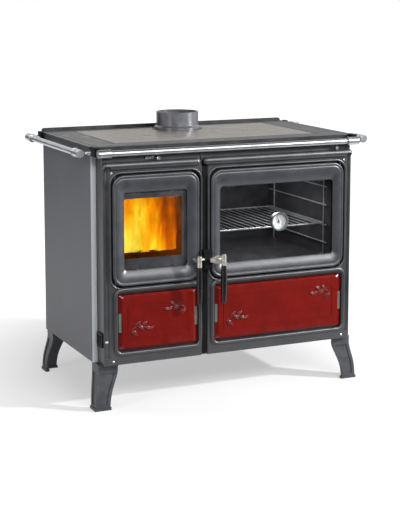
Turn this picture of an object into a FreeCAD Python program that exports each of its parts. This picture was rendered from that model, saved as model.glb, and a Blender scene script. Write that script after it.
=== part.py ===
import FreeCAD, Part
import math
import os
from types import SimpleNamespace as Sizes

# A wood-burning cooking stove with a fire door, an oven door and two drawers.
# While it is drawn, x runs from the left side panel's outer face, y runs back from the
# face of the front castings and z runs up from the floor. All sizes are in millimetres.

# Body
bodyWidth = 940.0
panelDepth = 490.0
castReach = 62.0
legHeight = 148.0
hobHeight = 856.0
frameHeight = 18.0

# Fits and cuts
overrun = 5.0
seatGap = 0.3
runFit = 0.05
wireGap = 0.2

# Side panels and the sheets between them
panelSheet = 1.5
panelBend = 8.0
panelRearBend = 3.0
panelReturn = 28.0
panelFlange = 15.0
panelFoot = 12.0
baseLip = 15.0
backInset = 8.0
backCorner = 6.0
backBorder = 40.0
backSlope = 10.0
backField = 4.0

# Front castings
castInset = 16.0
castWall = 12.0
flankWall = 8.0
castCorner = 5.0
castEdge = 4.0
castFillet = 3.0
leftCastWidth = 346.0
stripWidth = 20.0
bandSetback = 8.0
bandWall = 8.0
bandSeamInset = 3.0
bandSeam = 1.0
mouldRadius = 13.0
mouldDrop = 41.0
mouldStartInset = 3.0
mouldGap = 10.0
coveInset = 15.0
coveDepth = 5.0
coveRadius = 10.6
coveFoot = 26.0

# Doors
doorOuterMargin = 32.0
doorInnerMargin = 11.0
doorRise = 31.0
doorTopDrop = 72.0
doorCorner = 40.0
doorGap = 5.0
doorFront = -1.0
doorBack = 14.0
rimRadius = 5.0
dishInset = 9.0
dishFront = -5.0
dishFloor = 6.0
windowCorner = 6.0
windowHead = 58.5
fireWindowSill = 49.0
fireWindowHingeMargin = 42.0
fireWindowLatchMargin = 39.0
ovenWindowSill = 45.0
ovenWindowHingeMargin = 36.0
ovenWindowLatchMargin = 37.0
glassFront = 8.0
glassThickness = 4.0
glassLap = 5.0
glassFit = 0.5
mouthCorner = 34.0
pivotInset = 9.5
pivotDepth = 4.0
pinRadius = 2.5
pinRoot = 8.0
pinHold = 10.0
pinEndGap = 1.0
sealRadius = 4.0
sealGap = 0.5
sealInset = 8.0
sealHingeInset = 12.0
socketWall = 6.0
lipWall = 7.5
lipLap = 14.0
clipWidth = 24.0
clipSheet = 1.5
clipShow = 4.0
clipReach = 15.0
clipEndInset = 30.0
clipScrewRadius = 3.0
clipScrewHead = 2.0

# Door handles
spindleRise = 66.0
fireSpindleInset = 20.0
ovenSpindleInset = 22.5
fireGripShift = 2.5
ovenGripShift = 6.0
spindleRadius = 4.5
nutRadius = 6.5
nutHeight = 5.0
nutGap = 0.2
bossRadius = 9.0
bossFront = -8.0
gripReach = 42.0
ferruleRadius = 8.0
ferruleDrop = 18.0
ferruleRise = 19.0
ferruleDome = 3.0
gripLength = 125.0
gripEndRadius = 8.5
gripMidRadius = 10.5
gripRound = 4.0
tangRadius = 4.0
tangLength = 110.0
noseReach = 30.0
noseRadius = 4.0
noseRise = 5.0
noseLength = 27.0
plateTipReach = 38.5
plateRootReach = 6.0
plateRootHeight = 26.0
plateTipHeight = 12.0
plateThickness = 7.0

# Door keeper between the castings
stripSetback = 3.0
stripThickness = 5.0
stripFootGap = 2.0
keeperWidth = 32.0
keeperHeight = 68.0
keeperFront = -24.0
keeperNeck = 16.0
keeperHead = 20.0
keeperBevel = 5.7
keeperShift = 2.0
keeperCorner = 3.0

# Oven thermometer
thermoRadius = 32.0
thermoBarrel = 30.0
thermoWindow = 27.5
thermoFront = -15.0
thermoBezelDepth = 6.0
thermoBackFront = 4.0
thermoFoot = 12.0
thermoStem = 4.0
thermoStemHole = 5.0
thermoProbe = 40.0
thermoNut = 9.0
thermoNutHeight = 4.0
dialDepth = 12.0
dialThickness = 1.0
lensInset = 1.5
lensThickness = 1.5
needleRest = -21.0
needlePin = 1.0
needlePinLength = 5.0
needleHub = 3.0
needleHubDepth = 2.0
needleStand = 2.0
needleLength = 22.0
needleTail = 7.0
needleRootWidth = 3.0
needleTipWidth = 0.8
needleThickness = 0.8

# Drawers and their enamelled tiles
ashTileOuterMargin = 51.0
ashTileInnerMargin = 17.0
woodTileInnerMargin = 27.0
woodTileOuterMargin = 37.0
tileBottomMargin = 46.0
tileHeight = 181.0
tileCorner = 7.0
tileEdgeFront = 5.0
tileFace = -1.0
tileBack = 14.0
tileGap = 2.0
tileTopBevel = 8.0
tileSideBevel = 13.0
tileLineInset = 34.0
tileLineRise = 36.0
tileLineWidth = 2.5
tileLineHeight = 1.2
rollRadius = 6.5
rollCorner = 21.0
rollSideReach = 10.0
rollTopReach = 19.0
rollBottomReach = 11.0
slopeDepth = 8.0
notchWidth = 10.0
notchHeight = 62.0
tileClipFront = 1.0
drawerWall = 2.0
drawerInset = 4.0
drawerRise = 3.0
ashDrawerHeight = 104.0
woodDrawerHeight = 118.0
drawerRearGap = 38.0
runnerWidth = 14.0
runnerSheet = 2.0
runnerInset = 2.0

# Air controls
airKnobInset = 188.0
damperInset = 79.0
knobRise = 7.0
knobRadius = 6.0
knobStem = 3.0
knobHead = 12.0
knobFront = -14.0
knobDome = 2.5
slotReach = 44.0
slotLap = 8.0
slotFit = 0.5
airPlateWidth = 70.0
airPlateHeight = 16.0
airPlateSheet = 2.0
damperRodLength = 110.0
primaryInset = 5.5
primaryRise = 36.0
primaryBall = 5.5
primaryBallY = -9.0
primaryStem = 2.5
primaryStemLength = 40.0
primaryHoleDepth = 42.0
inletFront = 6.0
inletBack = 54.0
inletHeight = 48.0
inletThickness = 5.0
inletCorner = 5.0
inletSlotCount = 4
inletSlotWidth = 5.0
inletSlotMargin = 8.0
inletSlotDepth = 3.0

# Casting screws
screwHeadRadius = 3.5
screwHead = 2.0
screwShank = 2.0
screwLength = 9.0
screwTopInset = 29.0
screwTopDrop = 65.0
screwBottomInset = 32.0
screwBottomRise = 12.0

# Hand rails
railDrop = 18.0
railRadius = 10.0
railWall = 2.0
railFit = 0.2
frontRailY = -10.0
sideRailOut = 48.0
railEndGap = 4.0
sleeveRadius = 13.5
sleeveWall = 2.0
beadRadius = 14.5
beadLength = 4.0
frontSleeveLength = 40.0
sideSleeveLength = 50.0
sideSleeveFront = 28.0
sideSleeveRearReach = 13.0
capRadius = 12.5
capThickness = 3.0
armRadius = 8.0
armNeck = 5.0
armCollar = 6.0
frontArmX = 6.5
frontArmRadius = 5.0
frontArmY = 40.0
rearArmInset = 12.0
bracketFront = 4.0
bracketOut = 8.0
bracketIn = 12.0
bracketDepth = 44.0
bracketBelow = 10.0
bracketAbove = 2.0
bracketCorner = 4.0
rearBracketWidth = 32.0
rearBracketOut = 10.0

# Top frame and hob plate
frameOverhang = 8.0
frameFront = 30.0
frameRearReach = 15.0
frameCorner = 30.0
frameRearCorner = 6.0
framePlate = 10.0
frameSkirt = 8.0
grooveInset = 20.0
grooveWidth = 2.0
grooveDepth = 1.0
hobRearReach = 63.0
hobCorner = 4.0
hobGap = 2.0
ledgeWidth = 8.0
ledgeRoot = 6.0
upstandThickness = 8.0
upstandRise = 11.0
upstandRound = 9.0
collarInset = 100.0
collarLobe = 88.0
flueHole = 65.0
collarPipe = 75.0
collarWall = 6.0
collarFlange = 82.0
collarFlangeHeight = 10.0
collarRise = 62.0
collarFillet = 4.0
ringY = 285.0
ringOuter = 146.0
ringBridge = 82.0
ringEdge = 39.0
ringFrontEdge = 36.0
ringMiddle = 95.0
ringInner = 62.0
ringRebate = 8.0
ringStep = 4.0
ringGap = 0.5
ringGroove = 120.0
lidSlotLength = 30.0
lidSlotWidth = 12.0
lidSlotDepth = 5.0
lidBarWidth = 5.0

# Legs
legOuterInset = 3.0
legInnerInset = 70.0
legFrontTop = 20.0
legDepthTop = 60.0
footOut = 13.0
footInner = 38.0
footFront = 2.0
footDepth = 48.0
footPad = 3.0
footHeight = 9.0
padRound = 2.0
legFlange = 8.0
legWall = 8.0
legRearReach = 11.0
panelBorder = 11.0
panelRecess = 2.5
panelHeadDrop = 30.0
panelFootRise = 8.0
legRiseShares = (0.0, 0.22, 0.47, 0.75, 1.0)
legSplayShares = (1.0, 0.9, 0.61, 0.13, 0.0)

# Firebox
fireboxInset = 44.0
fireboxSeamGap = 17.0
fireboxDrop = 10.0
fireboxHeadGap = 38.0
fireboxRearGap = 52.0
fireboxWall = 4.0
brickSide = 24.0
brickRear = 30.0
brickFloor = 28.0
brickHeadroom = 122.0
brickGap = 1.0
brickCourses = 2
brickColumns = 2
brickJoint = 2.0
grateMargin = 72.0
grateFront = 90.0
grateLength = 280.0
grateThickness = 12.0
grateBars = 9
grateSlotShare = 0.45
grateRim = 12.0
ashHoleLap = 6.0
smokeHole = 60.0

# Oven
ovenSeamGap = 43.0
ovenSideGap = 62.0
ovenLift = 24.0
ovenHeadGap = 36.0
ovenRearGap = 52.0
ovenWall = 1.5
ovenFlange = 12.0
guideWire = 2.5
guideRiseShares = (0.167, 0.373, 0.607, 0.82)
guideFront = 44.0
guideRearGap = 30.0
guidePostInset = 28.0
rackWire = 1.6
rackFrame = 3.0
rackFront = 62.0
rackRearGap = 42.0
rackBars = 15
rackSideGap = 1.0

X = FreeCAD.Vector(1, 0, 0)
Y = FreeCAD.Vector(0, 1, 0)
Z = FreeCAD.Vector(0, 0, 1)

panelRear = castReach + panelDepth
panelTop = hobHeight - frameHeight
castRight = bodyWidth - castInset
stripLeft = castInset + leftCastWidth
stripRight = stripLeft + stripWidth
seamX = stripLeft - bandSeamInset
mouldZ = panelTop - mouldDrop
bandBottom = mouldZ + mouldRadius
lipFront = doorBack + sealRadius + sealGap
lipBack = lipFront + lipWall
tileBottom = legHeight + tileBottomMargin
tileTop = tileBottom + tileHeight
doorBottomHeight = tileTop + doorRise
doorHeight = panelTop - doorTopDrop - doorBottomHeight
drawerDepth = panelRear - drawerRearGap - tileBack
airKnobX = castInset + airKnobInset
damperX = bodyWidth - damperInset
primaryX = castInset + primaryInset
primaryHeight = tileBottom + primaryRise
railHeight = hobHeight - railDrop
sideSleeveRear = panelRear + sideSleeveRearReach
rearArmY = panelRear - rearArmInset
bracketBottom = railHeight - bracketBelow
bracketTop = hobHeight + bracketAbove
frameRear = panelRear + frameRearReach
collarY = panelRear - collarInset
collarTop = hobHeight + collarRise
legRearFoot = panelRear + legRearReach
fireboxLeft = castInset + fireboxInset
fireboxRight = stripLeft - fireboxSeamGap
fireboxBottom = doorBottomHeight - fireboxDrop
fireboxTop = panelTop - fireboxHeadGap
fireboxBack = panelRear - fireboxRearGap
brickHeight = fireboxTop - fireboxBottom - fireboxWall - brickFloor - brickHeadroom
ovenLeft = stripRight + ovenSeamGap
ovenRight = castRight - ovenSideGap
ovenBottom = doorBottomHeight + ovenLift
ovenTop = doorBottomHeight + doorHeight - ovenHeadGap
ovenBack = panelRear - ovenRearGap
guideRear = ovenBack - guideRearGap
rackRear = ovenBack - rackRearGap
frontReach = gripReach + gripMidRadius
rearReach = sideSleeveRear + capThickness
depthMiddle = (rearReach - frontReach) / 2
middle = bodyWidth / 2
ringInset = middle - ringBridge / 2 - ringOuter
hobSideInset = ringInset - ringOuter - ringEdge
hobFront = ringY - ringOuter - ringFrontEdge
hobRear = collarY + hobRearReach


def point(x, y, z):
    return FreeCAD.Vector(x, y, z)


def inFront(y):
    # Lifts outline points (x, z) to the plane at depth y.
    return lambda u, v: point(u, y, v)


def inPlan(z):
    # Lifts outline points (x, y) to the plane at height z.
    return lambda u, v: point(u, v, z)


def fromSide(x):
    # Lifts outline points (y, z) to the plane at x.
    return lambda u, v: point(x, u, v)


def roundedWire(corners, lift):
    # A closed outline of straight sides with an arc of its own radius at each corner.
    ends = []
    for index, (u, v, radius) in enumerate(corners):
        here = lift(u, v)
        before = lift(*corners[index - 1][:2]) - here
        after = lift(*corners[(index + 1) % len(corners)][:2]) - here
        before.normalize()
        after.normalize()
        half = before.getAngle(after) / 2
        bisector = (before + after).normalize() if radius else before
        reach = radius / math.tan(half)
        crest = here + bisector * (radius / math.sin(half) - radius)
        ends.append((here + before * reach, crest, here + after * reach, radius))
    edges = []
    for index, (start, crest, end, radius) in enumerate(ends):
        if radius:
            edges.append(Part.Arc(start, crest, end).toShape())
        following = ends[(index + 1) % len(ends)][0]
        edges.append(Part.LineSegment(end, following).toShape())
    return Part.Wire(edges)


def rectangle(u0, u1, v0, v1, radius):
    return [(u0, v0, radius), (u1, v0, radius), (u1, v1, radius), (u0, v1, radius)]


def frontPlate(corners, y0, y1):
    return Part.Face(roundedWire(corners, inFront(y0))).extrude(Y * (y1 - y0))


def planPlate(corners, z0, z1):
    return Part.Face(roundedWire(corners, inPlan(z0))).extrude(Z * (z1 - z0))


def frontTaper(cornersA, yA, cornersB, yB):
    wires = [roundedWire(cornersA, inFront(yA)), roundedWire(cornersB, inFront(yB))]
    return Part.makeLoft(wires, True, True)


def block(x0, x1, y0, y1, z0, z1):
    return Part.makeBox(x1 - x0, y1 - y0, z1 - z0, point(x0, y0, z0))


def rod(start, direction, radius, length):
    return Part.makeCylinder(radius, length, start, direction)


def turned(profile, base, axis, spoke):
    # Revolves a closed outline of (radius, distance along the axis) points.
    points = [base + spoke * r + axis * h for r, h in profile]
    face = Part.Face(Part.makePolygon(points + points[:1]))
    return face.revolve(base, axis, 360)


def beadRing(corners, lift, normal, tube):
    # A round bead of constant section that follows a rounded rectangle: four straight
    # rods and four quarter bends, each turned about the centre of its corner.
    (u0, v0, radius), (u1, _, _), (_, v1, _), _ = corners
    pieces = []
    turns = ((u0 + radius, v0 + radius, -1, 0, 0, -1), (u1 - radius, v0 + radius, 0, -1, 1, 0),
             (u1 - radius, v1 - radius, 1, 0, 0, 1), (u0 + radius, v1 - radius, 0, 1, -1, 0))
    for index, (u, v, du, dv, eu, ev) in enumerate(turns):
        centre = lift(u, v)
        start = lift(u + du * radius, v + dv * radius)
        end = lift(u + eu * radius, v + ev * radius)
        section = Part.Face(Part.Wire(Part.Circle(start, end - centre, tube).toShape()))
        quarter = 90 if (start - centre).cross(end - centre).dot(normal) > 0 else -90
        pieces.append(section.revolve(centre, normal, quarter))
        following = turns[(index + 1) % len(turns)]
        goal = lift(following[0] + following[2] * radius, following[1] + following[3] * radius)
        pieces.append(rod(end, goal - end, tube, (goal - end).Length))
    return joined(pieces)


def frontTube(corners, y, tube):
    return beadRing(corners, inFront(y), Y, tube)


def joined(shapes):
    # Fused one after another, which holds at more sizes than one fuse of them all.
    whole = shapes[0]
    for shape in shapes[1:]:
        whole = whole.fuse(shape)
    return whole.removeSplitter() if len(shapes) > 1 else whole


def mirrored(shape):
    return shape.mirror(point(middle, 0, 0), X)


def grown(corners, reach):
    # The same rectangle moved outwards by reach, with its corners kept concentric.
    us = [corner[0] for corner in corners]
    vs = [corner[1] for corner in corners]
    radius = corners[0][2] + reach
    return rectangle(min(us) - reach, max(us) + reach, min(vs) - reach, max(vs) + reach, radius)


def save(node, shape):
    placed = shape.translated(point(-middle, -depthMiddle, 0))
    placed.exportStep("parts/" + node + ".step")


def doorSizes(left, right, hingeLeft, window, spindleInset, gripShift):
    # Everything that the door, its casting and its fittings share.
    hinge, latch = (left, right) if hingeLeft else (right, left)
    inward = 1 if hingeLeft else -1
    bottom = doorBottomHeight
    top = bottom + doorHeight
    hingeMargin, latchMargin, sill = window
    glassLeft = left + (hingeMargin if hingeLeft else latchMargin)
    glassRight = right - (latchMargin if hingeLeft else hingeMargin)
    return Sizes(
        left=left, right=right, bottom=bottom, top=top,
        outline=rectangle(left, right, bottom, top, doorCorner),
        window=rectangle(glassLeft, glassRight, bottom + sill, top - windowHead, windowCorner),
        glassLeft=glassLeft, glassRight=glassRight,
        glassBottom=bottom + sill, glassTop=top - windowHead,
        pivotX=hinge + inward * pivotInset,
        sealLeft=left + (sealHingeInset if hingeLeft else sealInset),
        sealRight=right - (sealInset if hingeLeft else sealHingeInset),
        spindleX=latch - inward * spindleInset,
        gripX=latch - inward * spindleInset + gripShift,
        spindleZ=bottom + spindleRise,
        latchSide=inward)


fireDoor = doorSizes(castInset + doorOuterMargin, stripLeft - doorInnerMargin, True,
                     (fireWindowHingeMargin, fireWindowLatchMargin, fireWindowSill),
                     fireSpindleInset, fireGripShift)
ovenDoor = doorSizes(stripRight + doorInnerMargin, castRight - doorOuterMargin, False,
                     (ovenWindowHingeMargin, ovenWindowLatchMargin, ovenWindowSill),
                     ovenSpindleInset, ovenGripShift)

ashTile = Sizes(left=castInset + ashTileOuterMargin, right=stripLeft - ashTileInnerMargin)
woodTile = Sizes(left=stripRight + woodTileInnerMargin, right=castRight - woodTileOuterMargin)
ashDrawer = Sizes(tile=ashTile, height=ashDrawerHeight, depth=drawerDepth)
woodDrawer = Sizes(tile=woodTile, height=woodDrawerHeight, depth=drawerDepth)


def tileOutline(tile):
    return rectangle(tile.left, tile.right, tileBottom, tileTop, tileCorner)


def sidePanel():
    # Folded sheet: a rounded front edge with a wide return, a rear flange and a foot.
    front, rear = castReach, panelRear
    sheet = panelSheet
    outer = planPlate([(0, front, panelBend), (panelReturn, front, 0),
                       (panelReturn, rear, 0), (0, rear, panelRearBend)], legHeight, panelTop)
    inner = planPlate([(sheet, front + sheet, panelBend - sheet),
                       (panelReturn + overrun, front + sheet, 0),
                       (panelReturn + overrun, rear - sheet, 0),
                       (sheet, rear - sheet, panelRearBend - sheet)],
                      legHeight + sheet, panelTop + overrun)
    rearTrim = block(panelFlange, panelReturn + overrun, rear - panelReturn, rear + overrun,
                     legHeight - overrun, panelTop + overrun)
    footTrim = block(panelFoot, panelReturn + overrun, front + sheet, rear + overrun,
                     legHeight - overrun, legHeight + sheet)
    return outer.cut([inner, rearTrim, footTrim])


def basePanel():
    # A tray between the side panels, with its front and rear edges folded up.
    sheet = panelSheet
    x0, x1 = sheet, bodyWidth - sheet
    y0, y1 = castReach + sheet, panelRear - sheet
    z0 = legHeight + sheet
    frontBend, rearBend = panelBend - sheet, panelRearBend - sheet
    tray = planPlate([(x0, y0, frontBend), (x1, y0, frontBend), (x1, y1, rearBend), (x0, y1, rearBend)],
                     z0, z0 + baseLip)
    return tray.cut(block(x0 - overrun, x1 + overrun, y0 + sheet, y1 - sheet, z0 + sheet,
                          z0 + baseLip + overrun))


def backPanel():
    # Flat sheet with a shallow field pressed out of it towards the wall.
    z0, z1 = legHeight + panelSheet, panelTop
    sheet = rectangle(backInset, bodyWidth - backInset, z0, z1, backCorner)
    rim = grown(sheet, -backBorder)
    rim = rectangle(rim[0][0], rim[1][0], rim[0][1], rim[2][1], backBorder)
    crown = rectangle(rim[0][0] + backSlope, rim[1][0] - backSlope,
                      rim[0][1] + backSlope, rim[2][1] - backSlope, backBorder - backSlope)
    face = panelRear + panelSheet
    outer = joined([frontPlate(sheet, panelRear, face), frontTaper(rim, face, crown, face + backField)])
    return outer.cut(frontTaper(grown(rim, -panelSheet), panelRear, grown(crown, -panelSheet),
                                panelRear + backField))


def castBody(x0, x1, flankLeft):
    # The casting's face, its flank and the set-back band under the top, in plan.
    flankX = x0 if flankLeft else x1
    inward = 1 if flankLeft else -1
    farX = x1 if flankLeft else x0
    innerX = flankX + inward * flankWall

    def ell(face, wall, far, z0, z1):
        corners = [(flankX, castReach, 0), (flankX, face, castCorner), (far, face, castEdge),
                   (far, face + wall, 0), (innerX, face + wall, castFillet), (innerX, castReach, 0)]
        return planPlate(corners, z0, z1)

    seam = seamX - bandSeam / 2 if flankLeft else seamX + bandSeam / 2
    low = ell(0, castWall, farX, legHeight, mouldZ)
    band = ell(bandSetback, bandWall, seam, mouldZ, panelTop)
    return joined([low, band])


def moulding(x0, x1):
    # The round moulding across the head of a casting, with rounded ends.
    r = mouldRadius
    bar = rod(point(x0 + r, 0, mouldZ), X, r, x1 - x0 - r * 2)
    ends = [Part.makeSphere(r, point(x, 0, mouldZ)) for x in (x0 + r, x1 - r)]
    return joined([bar] + ends)


def pinRise(corner, gap):
    # Height above the door's middle where a corner of that radius passes over the pivot.
    across = corner - gap - pivotInset
    return doorHeight / 2 + gap - corner + math.sqrt(corner ** 2 - across ** 2)


def doorMouth(door):
    # The opening's corners are tighter than the door's, so that it clears them as it swings.
    return rectangle(door.left - doorGap, door.right + doorGap, door.bottom - doorGap,
                     door.top + doorGap, mouthCorner)


def castDoorSocket(door):
    # A wall behind the face carries the lip that the rope seal closes on.
    return frontPlate(grown(doorMouth(door), socketWall - rollRadius / 2), castWall / 2, lipBack)


def castDoorCuts(door):
    aperture = grown(door.outline, -lipLap)
    cuts = [frontPlate(doorMouth(door), -overrun, lipFront),
            frontPlate(aperture, lipFront, lipBack + overrun)]
    start = pinRise(mouthCorner, doorGap)
    length = pinHold + pinEndGap + overrun
    centre = (door.bottom + door.top) / 2
    for side in (-1, 1):
        base = point(door.pivotX, pivotDepth, centre + side * (start - overrun))
        cuts.append(rod(base, Z * side, pinRadius + runFit, length))
    return cuts


def castTileRoll(tile):
    crest = rectangle(tile.left - rollSideReach, tile.right + rollSideReach,
                      tileBottom - rollBottomReach, tileTop + rollTopReach, rollCorner)
    return crest, frontTube(crest, 0, rollRadius)


def castTileCuts(tile, crest):
    opening = grown(tileOutline(tile), tileGap)
    mouth = grown(crest, -rollRadius)
    return [frontTaper(mouth, 0, opening, slopeDepth),
            frontPlate(opening, -overrun, castWall + overrun),
            frontPlate(mouth, -rollRadius - overrun, 0)]


def screwPlaces():
    lower = legHeight + screwBottomRise
    upper = panelTop - screwTopDrop
    left = [(castInset + screwTopInset, upper), (castInset + screwBottomInset, lower)]
    return left + [(bodyWidth - x, z) for x, z in left]


def frontCasting(flankLeft):
    # The casting round one door and one drawer front, with all its openings.
    x0, x1 = (castInset, stripLeft) if flankLeft else (stripRight, castRight)
    door = fireDoor if flankLeft else ovenDoor
    tile = ashTile if flankLeft else woodTile
    crest, roll = castTileRoll(tile)
    start = x0 if flankLeft else stripLeft + mouldStartInset
    end = stripLeft + mouldStartInset - mouldGap if flankLeft else x1
    solids = [castBody(x0, x1, flankLeft), roll, castDoorSocket(door), moulding(start, end)]
    if not flankLeft:
        solids.append(block(seamX + bandSeam / 2 + mouldRadius, stripRight + overrun, 0, castWall,
                            mouldZ, bandBottom - bandSeam))
    body = joined(solids)
    cornerX = castInset if flankLeft else castRight
    inward = 1 if flankLeft else -1
    cove = rod(point(cornerX + inward * coveInset, coveDepth - coveRadius, legHeight + coveFoot), Z,
               coveRadius, mouldZ - legHeight - coveFoot)
    cuts = [cove] + castDoorCuts(door) + castTileCuts(tile, crest)
    for x, z in screwPlaces():
        cuts.append(rod(point(x, -overrun, z), Y, screwShank, castWall + overrun + overrun))
    stemHole = knobStem + slotFit
    knobZ = bandBottom + knobRise
    if flankLeft:
        slot = rectangle(airKnobX - slotReach, airKnobX + slotLap, knobZ - stemHole, knobZ + stemHole,
                         stemHole - seatGap)
        cuts.append(frontPlate(slot, -overrun, bandSetback + bandWall + overrun))
        cuts.append(rod(point(primaryX, -overrun, primaryHeight), Y, primaryStem + runFit,
                        primaryHoleDepth + overrun))
    else:
        cuts.append(rod(point(damperX, -overrun, knobZ), Y, knobStem + runFit,
                        bandSetback + bandWall + overrun + overrun))
    return body.cut(cuts)


def doorKeeper():
    # The dark strip between the castings, with the block that both noses rest on.
    back = stripSetback + stripThickness
    strip = block(stripLeft, stripRight, stripSetback, back, legHeight + stripFootGap,
                  mouldZ - mouldRadius - stripFootGap)
    centreX = (stripLeft + stripRight) / 2 + keeperShift
    z0 = fireDoor.spindleZ - keeperHeight / 2
    z1 = z0 + keeperHeight
    headBack = keeperFront + keeperHead
    head = planPlate(rectangle(centreX - keeperWidth / 2, centreX + keeperWidth / 2,
                               keeperFront, headBack, keeperCorner), z0, z1)
    neck = block(centreX - keeperNeck / 2, centreX + keeperNeck / 2, headBack - keeperCorner, back, z0, z1)
    for z in (z0, z1):
        bevel = Part.makeBox(keeperWidth * 2, keeperBevel * 2, keeperBevel * 2,
                             point(centreX - keeperWidth, -keeperBevel, -keeperBevel))
        bevel.rotate(point(centreX, 0, 0), X, 45)
        bevel.translate(point(0, keeperFront, z))
        head = head.cut(bevel)
    return joined([strip, neck, head])


def doorFrame(door):
    # Cast door: a rolled rim round a dish that falls to the window, with its hinge pins.
    rim = frontTube(grown(door.outline, -rimRadius), doorFront, rimRadius)
    plate = frontPlate(door.outline, doorFront, doorBack)
    swell = frontPlate(grown(door.outline, -rimRadius), dishFront, doorFront)
    pins = []
    centre = (door.bottom + door.top) / 2
    start = pinRise(doorCorner, 0) - pinRoot
    length = pinRise(mouthCorner, doorGap) + pinHold - start
    for side in (-1, 1):
        pins.append(rod(point(door.pivotX, pivotDepth, centre + side * start), Z * side, pinRadius, length))
    frame = joined([plate, swell, rim] + pins)
    rimInner = grown(door.outline, -dishInset)
    dish = frontTaper(rimInner, dishFront, door.window, dishFloor)
    cavity = frontPlate(rimInner, dishFront - rimRadius - overrun, dishFront)
    window = frontPlate(door.window, dishFront - overrun, doorBack + overrun)
    rebate = frontPlate(grown(door.window, glassLap + glassFit), glassFront, doorBack + overrun)
    groove = frontTube(sealPath(door), doorBack, sealRadius + seatGap)
    boss = rod(point(door.spindleX, bossFront, door.spindleZ), Y, bossRadius, glassFront - bossFront)
    frame = frame.cut([dish, cavity, window]).fuse(boss)
    spindle = rod(point(door.spindleX, bossFront - overrun, door.spindleZ), Y,
                  spindleRadius + runFit, doorBack - bossFront + overrun * 2)
    pocketFront = doorBack - nutHeight - nutGap - seatGap
    pocket = rod(point(door.spindleX, pocketFront, door.spindleZ), Y, nutRadius + nutGap,
                 doorBack - pocketFront + overrun)
    return frame.cut([rebate, groove, spindle, pocket])


def sealPath(door):
    return rectangle(door.sealLeft, door.sealRight, door.bottom + sealInset, door.top - sealInset,
                     doorCorner - sealInset)


def doorSeal(door):
    return frontTube(sealPath(door), doorBack, sealRadius)


def doorGlass(door, hole):
    pane = frontPlate(grown(door.window, glassLap), glassFront, glassFront + glassThickness)
    if hole:
        centreX = (door.left + door.right) / 2
        centreZ = (door.glassBottom + door.glassTop) / 2
        pane = pane.cut(rod(point(centreX, 0, centreZ), Y, thermoStemHole, doorBack))
    return pane


def glassClips(door):
    # Four spring clips behind the window's corners press the pane on its rebate.
    glassBack = glassFront + glassThickness
    solids = []
    for left in (True, False):
        x = door.glassLeft + clipEndInset if left else door.glassRight - clipEndInset - clipWidth
        for edge, out in ((door.glassBottom, -1), (door.glassTop, 1)):
            inner = edge - out * clipShow
            outer = edge + out * clipReach
            step = edge + out * glassLap
            bridge = block(x, x + clipWidth, doorBack, doorBack + clipSheet,
                           min(inner, outer), max(inner, outer))
            foot = block(x, x + clipWidth, glassBack, doorBack + clipSheet,
                         min(inner, step), max(inner, step))
            screwZ = (step + outer) / 2
            screw = rod(point(x + clipWidth / 2, doorBack, screwZ), Y, clipScrewRadius,
                        clipSheet + clipScrewHead)
            solids.append(joined([bridge, foot, screw]))
    return Part.makeCompound(solids)


def handleLever(door, nose):
    # Spindle through the door, a ferrule for the grip and the nose that meets the keeper.
    x, z = door.spindleX, door.spindleZ
    nutBack = doorBack - seatGap
    solids = [rod(point(x, -gripReach, z), Y, spindleRadius, nutBack + gripReach),
              rod(point(x, nutBack - nutHeight, z), Y, nutRadius, nutHeight)]
    low, high = -ferruleDrop, ferruleRise
    ferrule = [(0, low), (ferruleRadius, low), (ferruleRadius, high - ferruleDome),
               (ferruleRadius - ferruleDome, high), (0, high)]
    solids.append(turned(ferrule, point(door.gripX, -gripReach, z), Z, X))
    solids.append(rod(point(door.gripX, -gripReach, z + low), -Z, tangRadius, tangLength))
    solids.append(nose(door))
    return joined(solids)


def fireNose(door):
    start = point(door.spindleX, -noseReach, door.spindleZ + noseRise)
    finger = rod(start, X, noseRadius, noseLength - noseRadius)
    tip = Part.makeSphere(noseRadius, start + X * (noseLength - noseRadius))
    return joined([finger, tip])


def ovenNose(door):
    # A plate that narrows towards the keeper.
    x, z = door.spindleX, door.spindleZ
    root, tip = plateRootHeight / 2, plateTipHeight / 2
    outline = [(x + plateRootReach, z - root, 0), (x + plateRootReach, z + root, 0),
               (x - plateRootReach * 2, z + root, 0), (x - plateTipReach, z + tip, 0),
               (x - plateTipReach, z - tip, 0), (x - plateRootReach * 2, z - root, 0)]
    return frontPlate(outline, -noseReach - plateThickness / 2, -noseReach + plateThickness / 2)


def handleGrip(door):
    # Barrel grip, drilled for the tang of the lever.
    top = -ferruleDrop
    bottom = top - gripLength
    mid = (top + bottom) / 2
    axis = point(door.gripX, -gripReach, door.spindleZ)
    crown = gripEndRadius - gripRound
    ends = [axis + X * crown + Z * bottom, axis + X * gripEndRadius + Z * (bottom + gripRound),
            axis + X * gripMidRadius + Z * mid, axis + X * gripEndRadius + Z * (top - gripRound / 2),
            axis + X * gripEndRadius + Z * top]
    barrel = Part.Arc(ends[1], ends[2], ends[3]).toShape()
    turn = axis + X * (crown + gripRound * math.sin(math.pi / 4)) \
        + Z * (bottom + gripRound * (1 - math.cos(math.pi / 4)))
    roundEnd = Part.Arc(ends[0], turn, ends[1]).toShape()
    lines = [Part.LineSegment(ends[3], ends[4]).toShape(),
             Part.LineSegment(ends[4], axis + Z * top).toShape(),
             Part.LineSegment(axis + Z * top, axis + Z * bottom).toShape(),
             Part.LineSegment(axis + Z * bottom, ends[0]).toShape()]
    outline = Part.Wire([roundEnd, barrel] + lines)
    grip = Part.Face(outline).revolve(axis, Z, 360)
    bore = rod(axis + Z * top, -Z, tangRadius + wireGap, tangLength + wireGap)
    return grip.cut(bore)


def thermoCentre():
    return point((ovenDoor.left + ovenDoor.right) / 2, 0, (ovenDoor.glassBottom + ovenDoor.glassTop) / 2)


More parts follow.
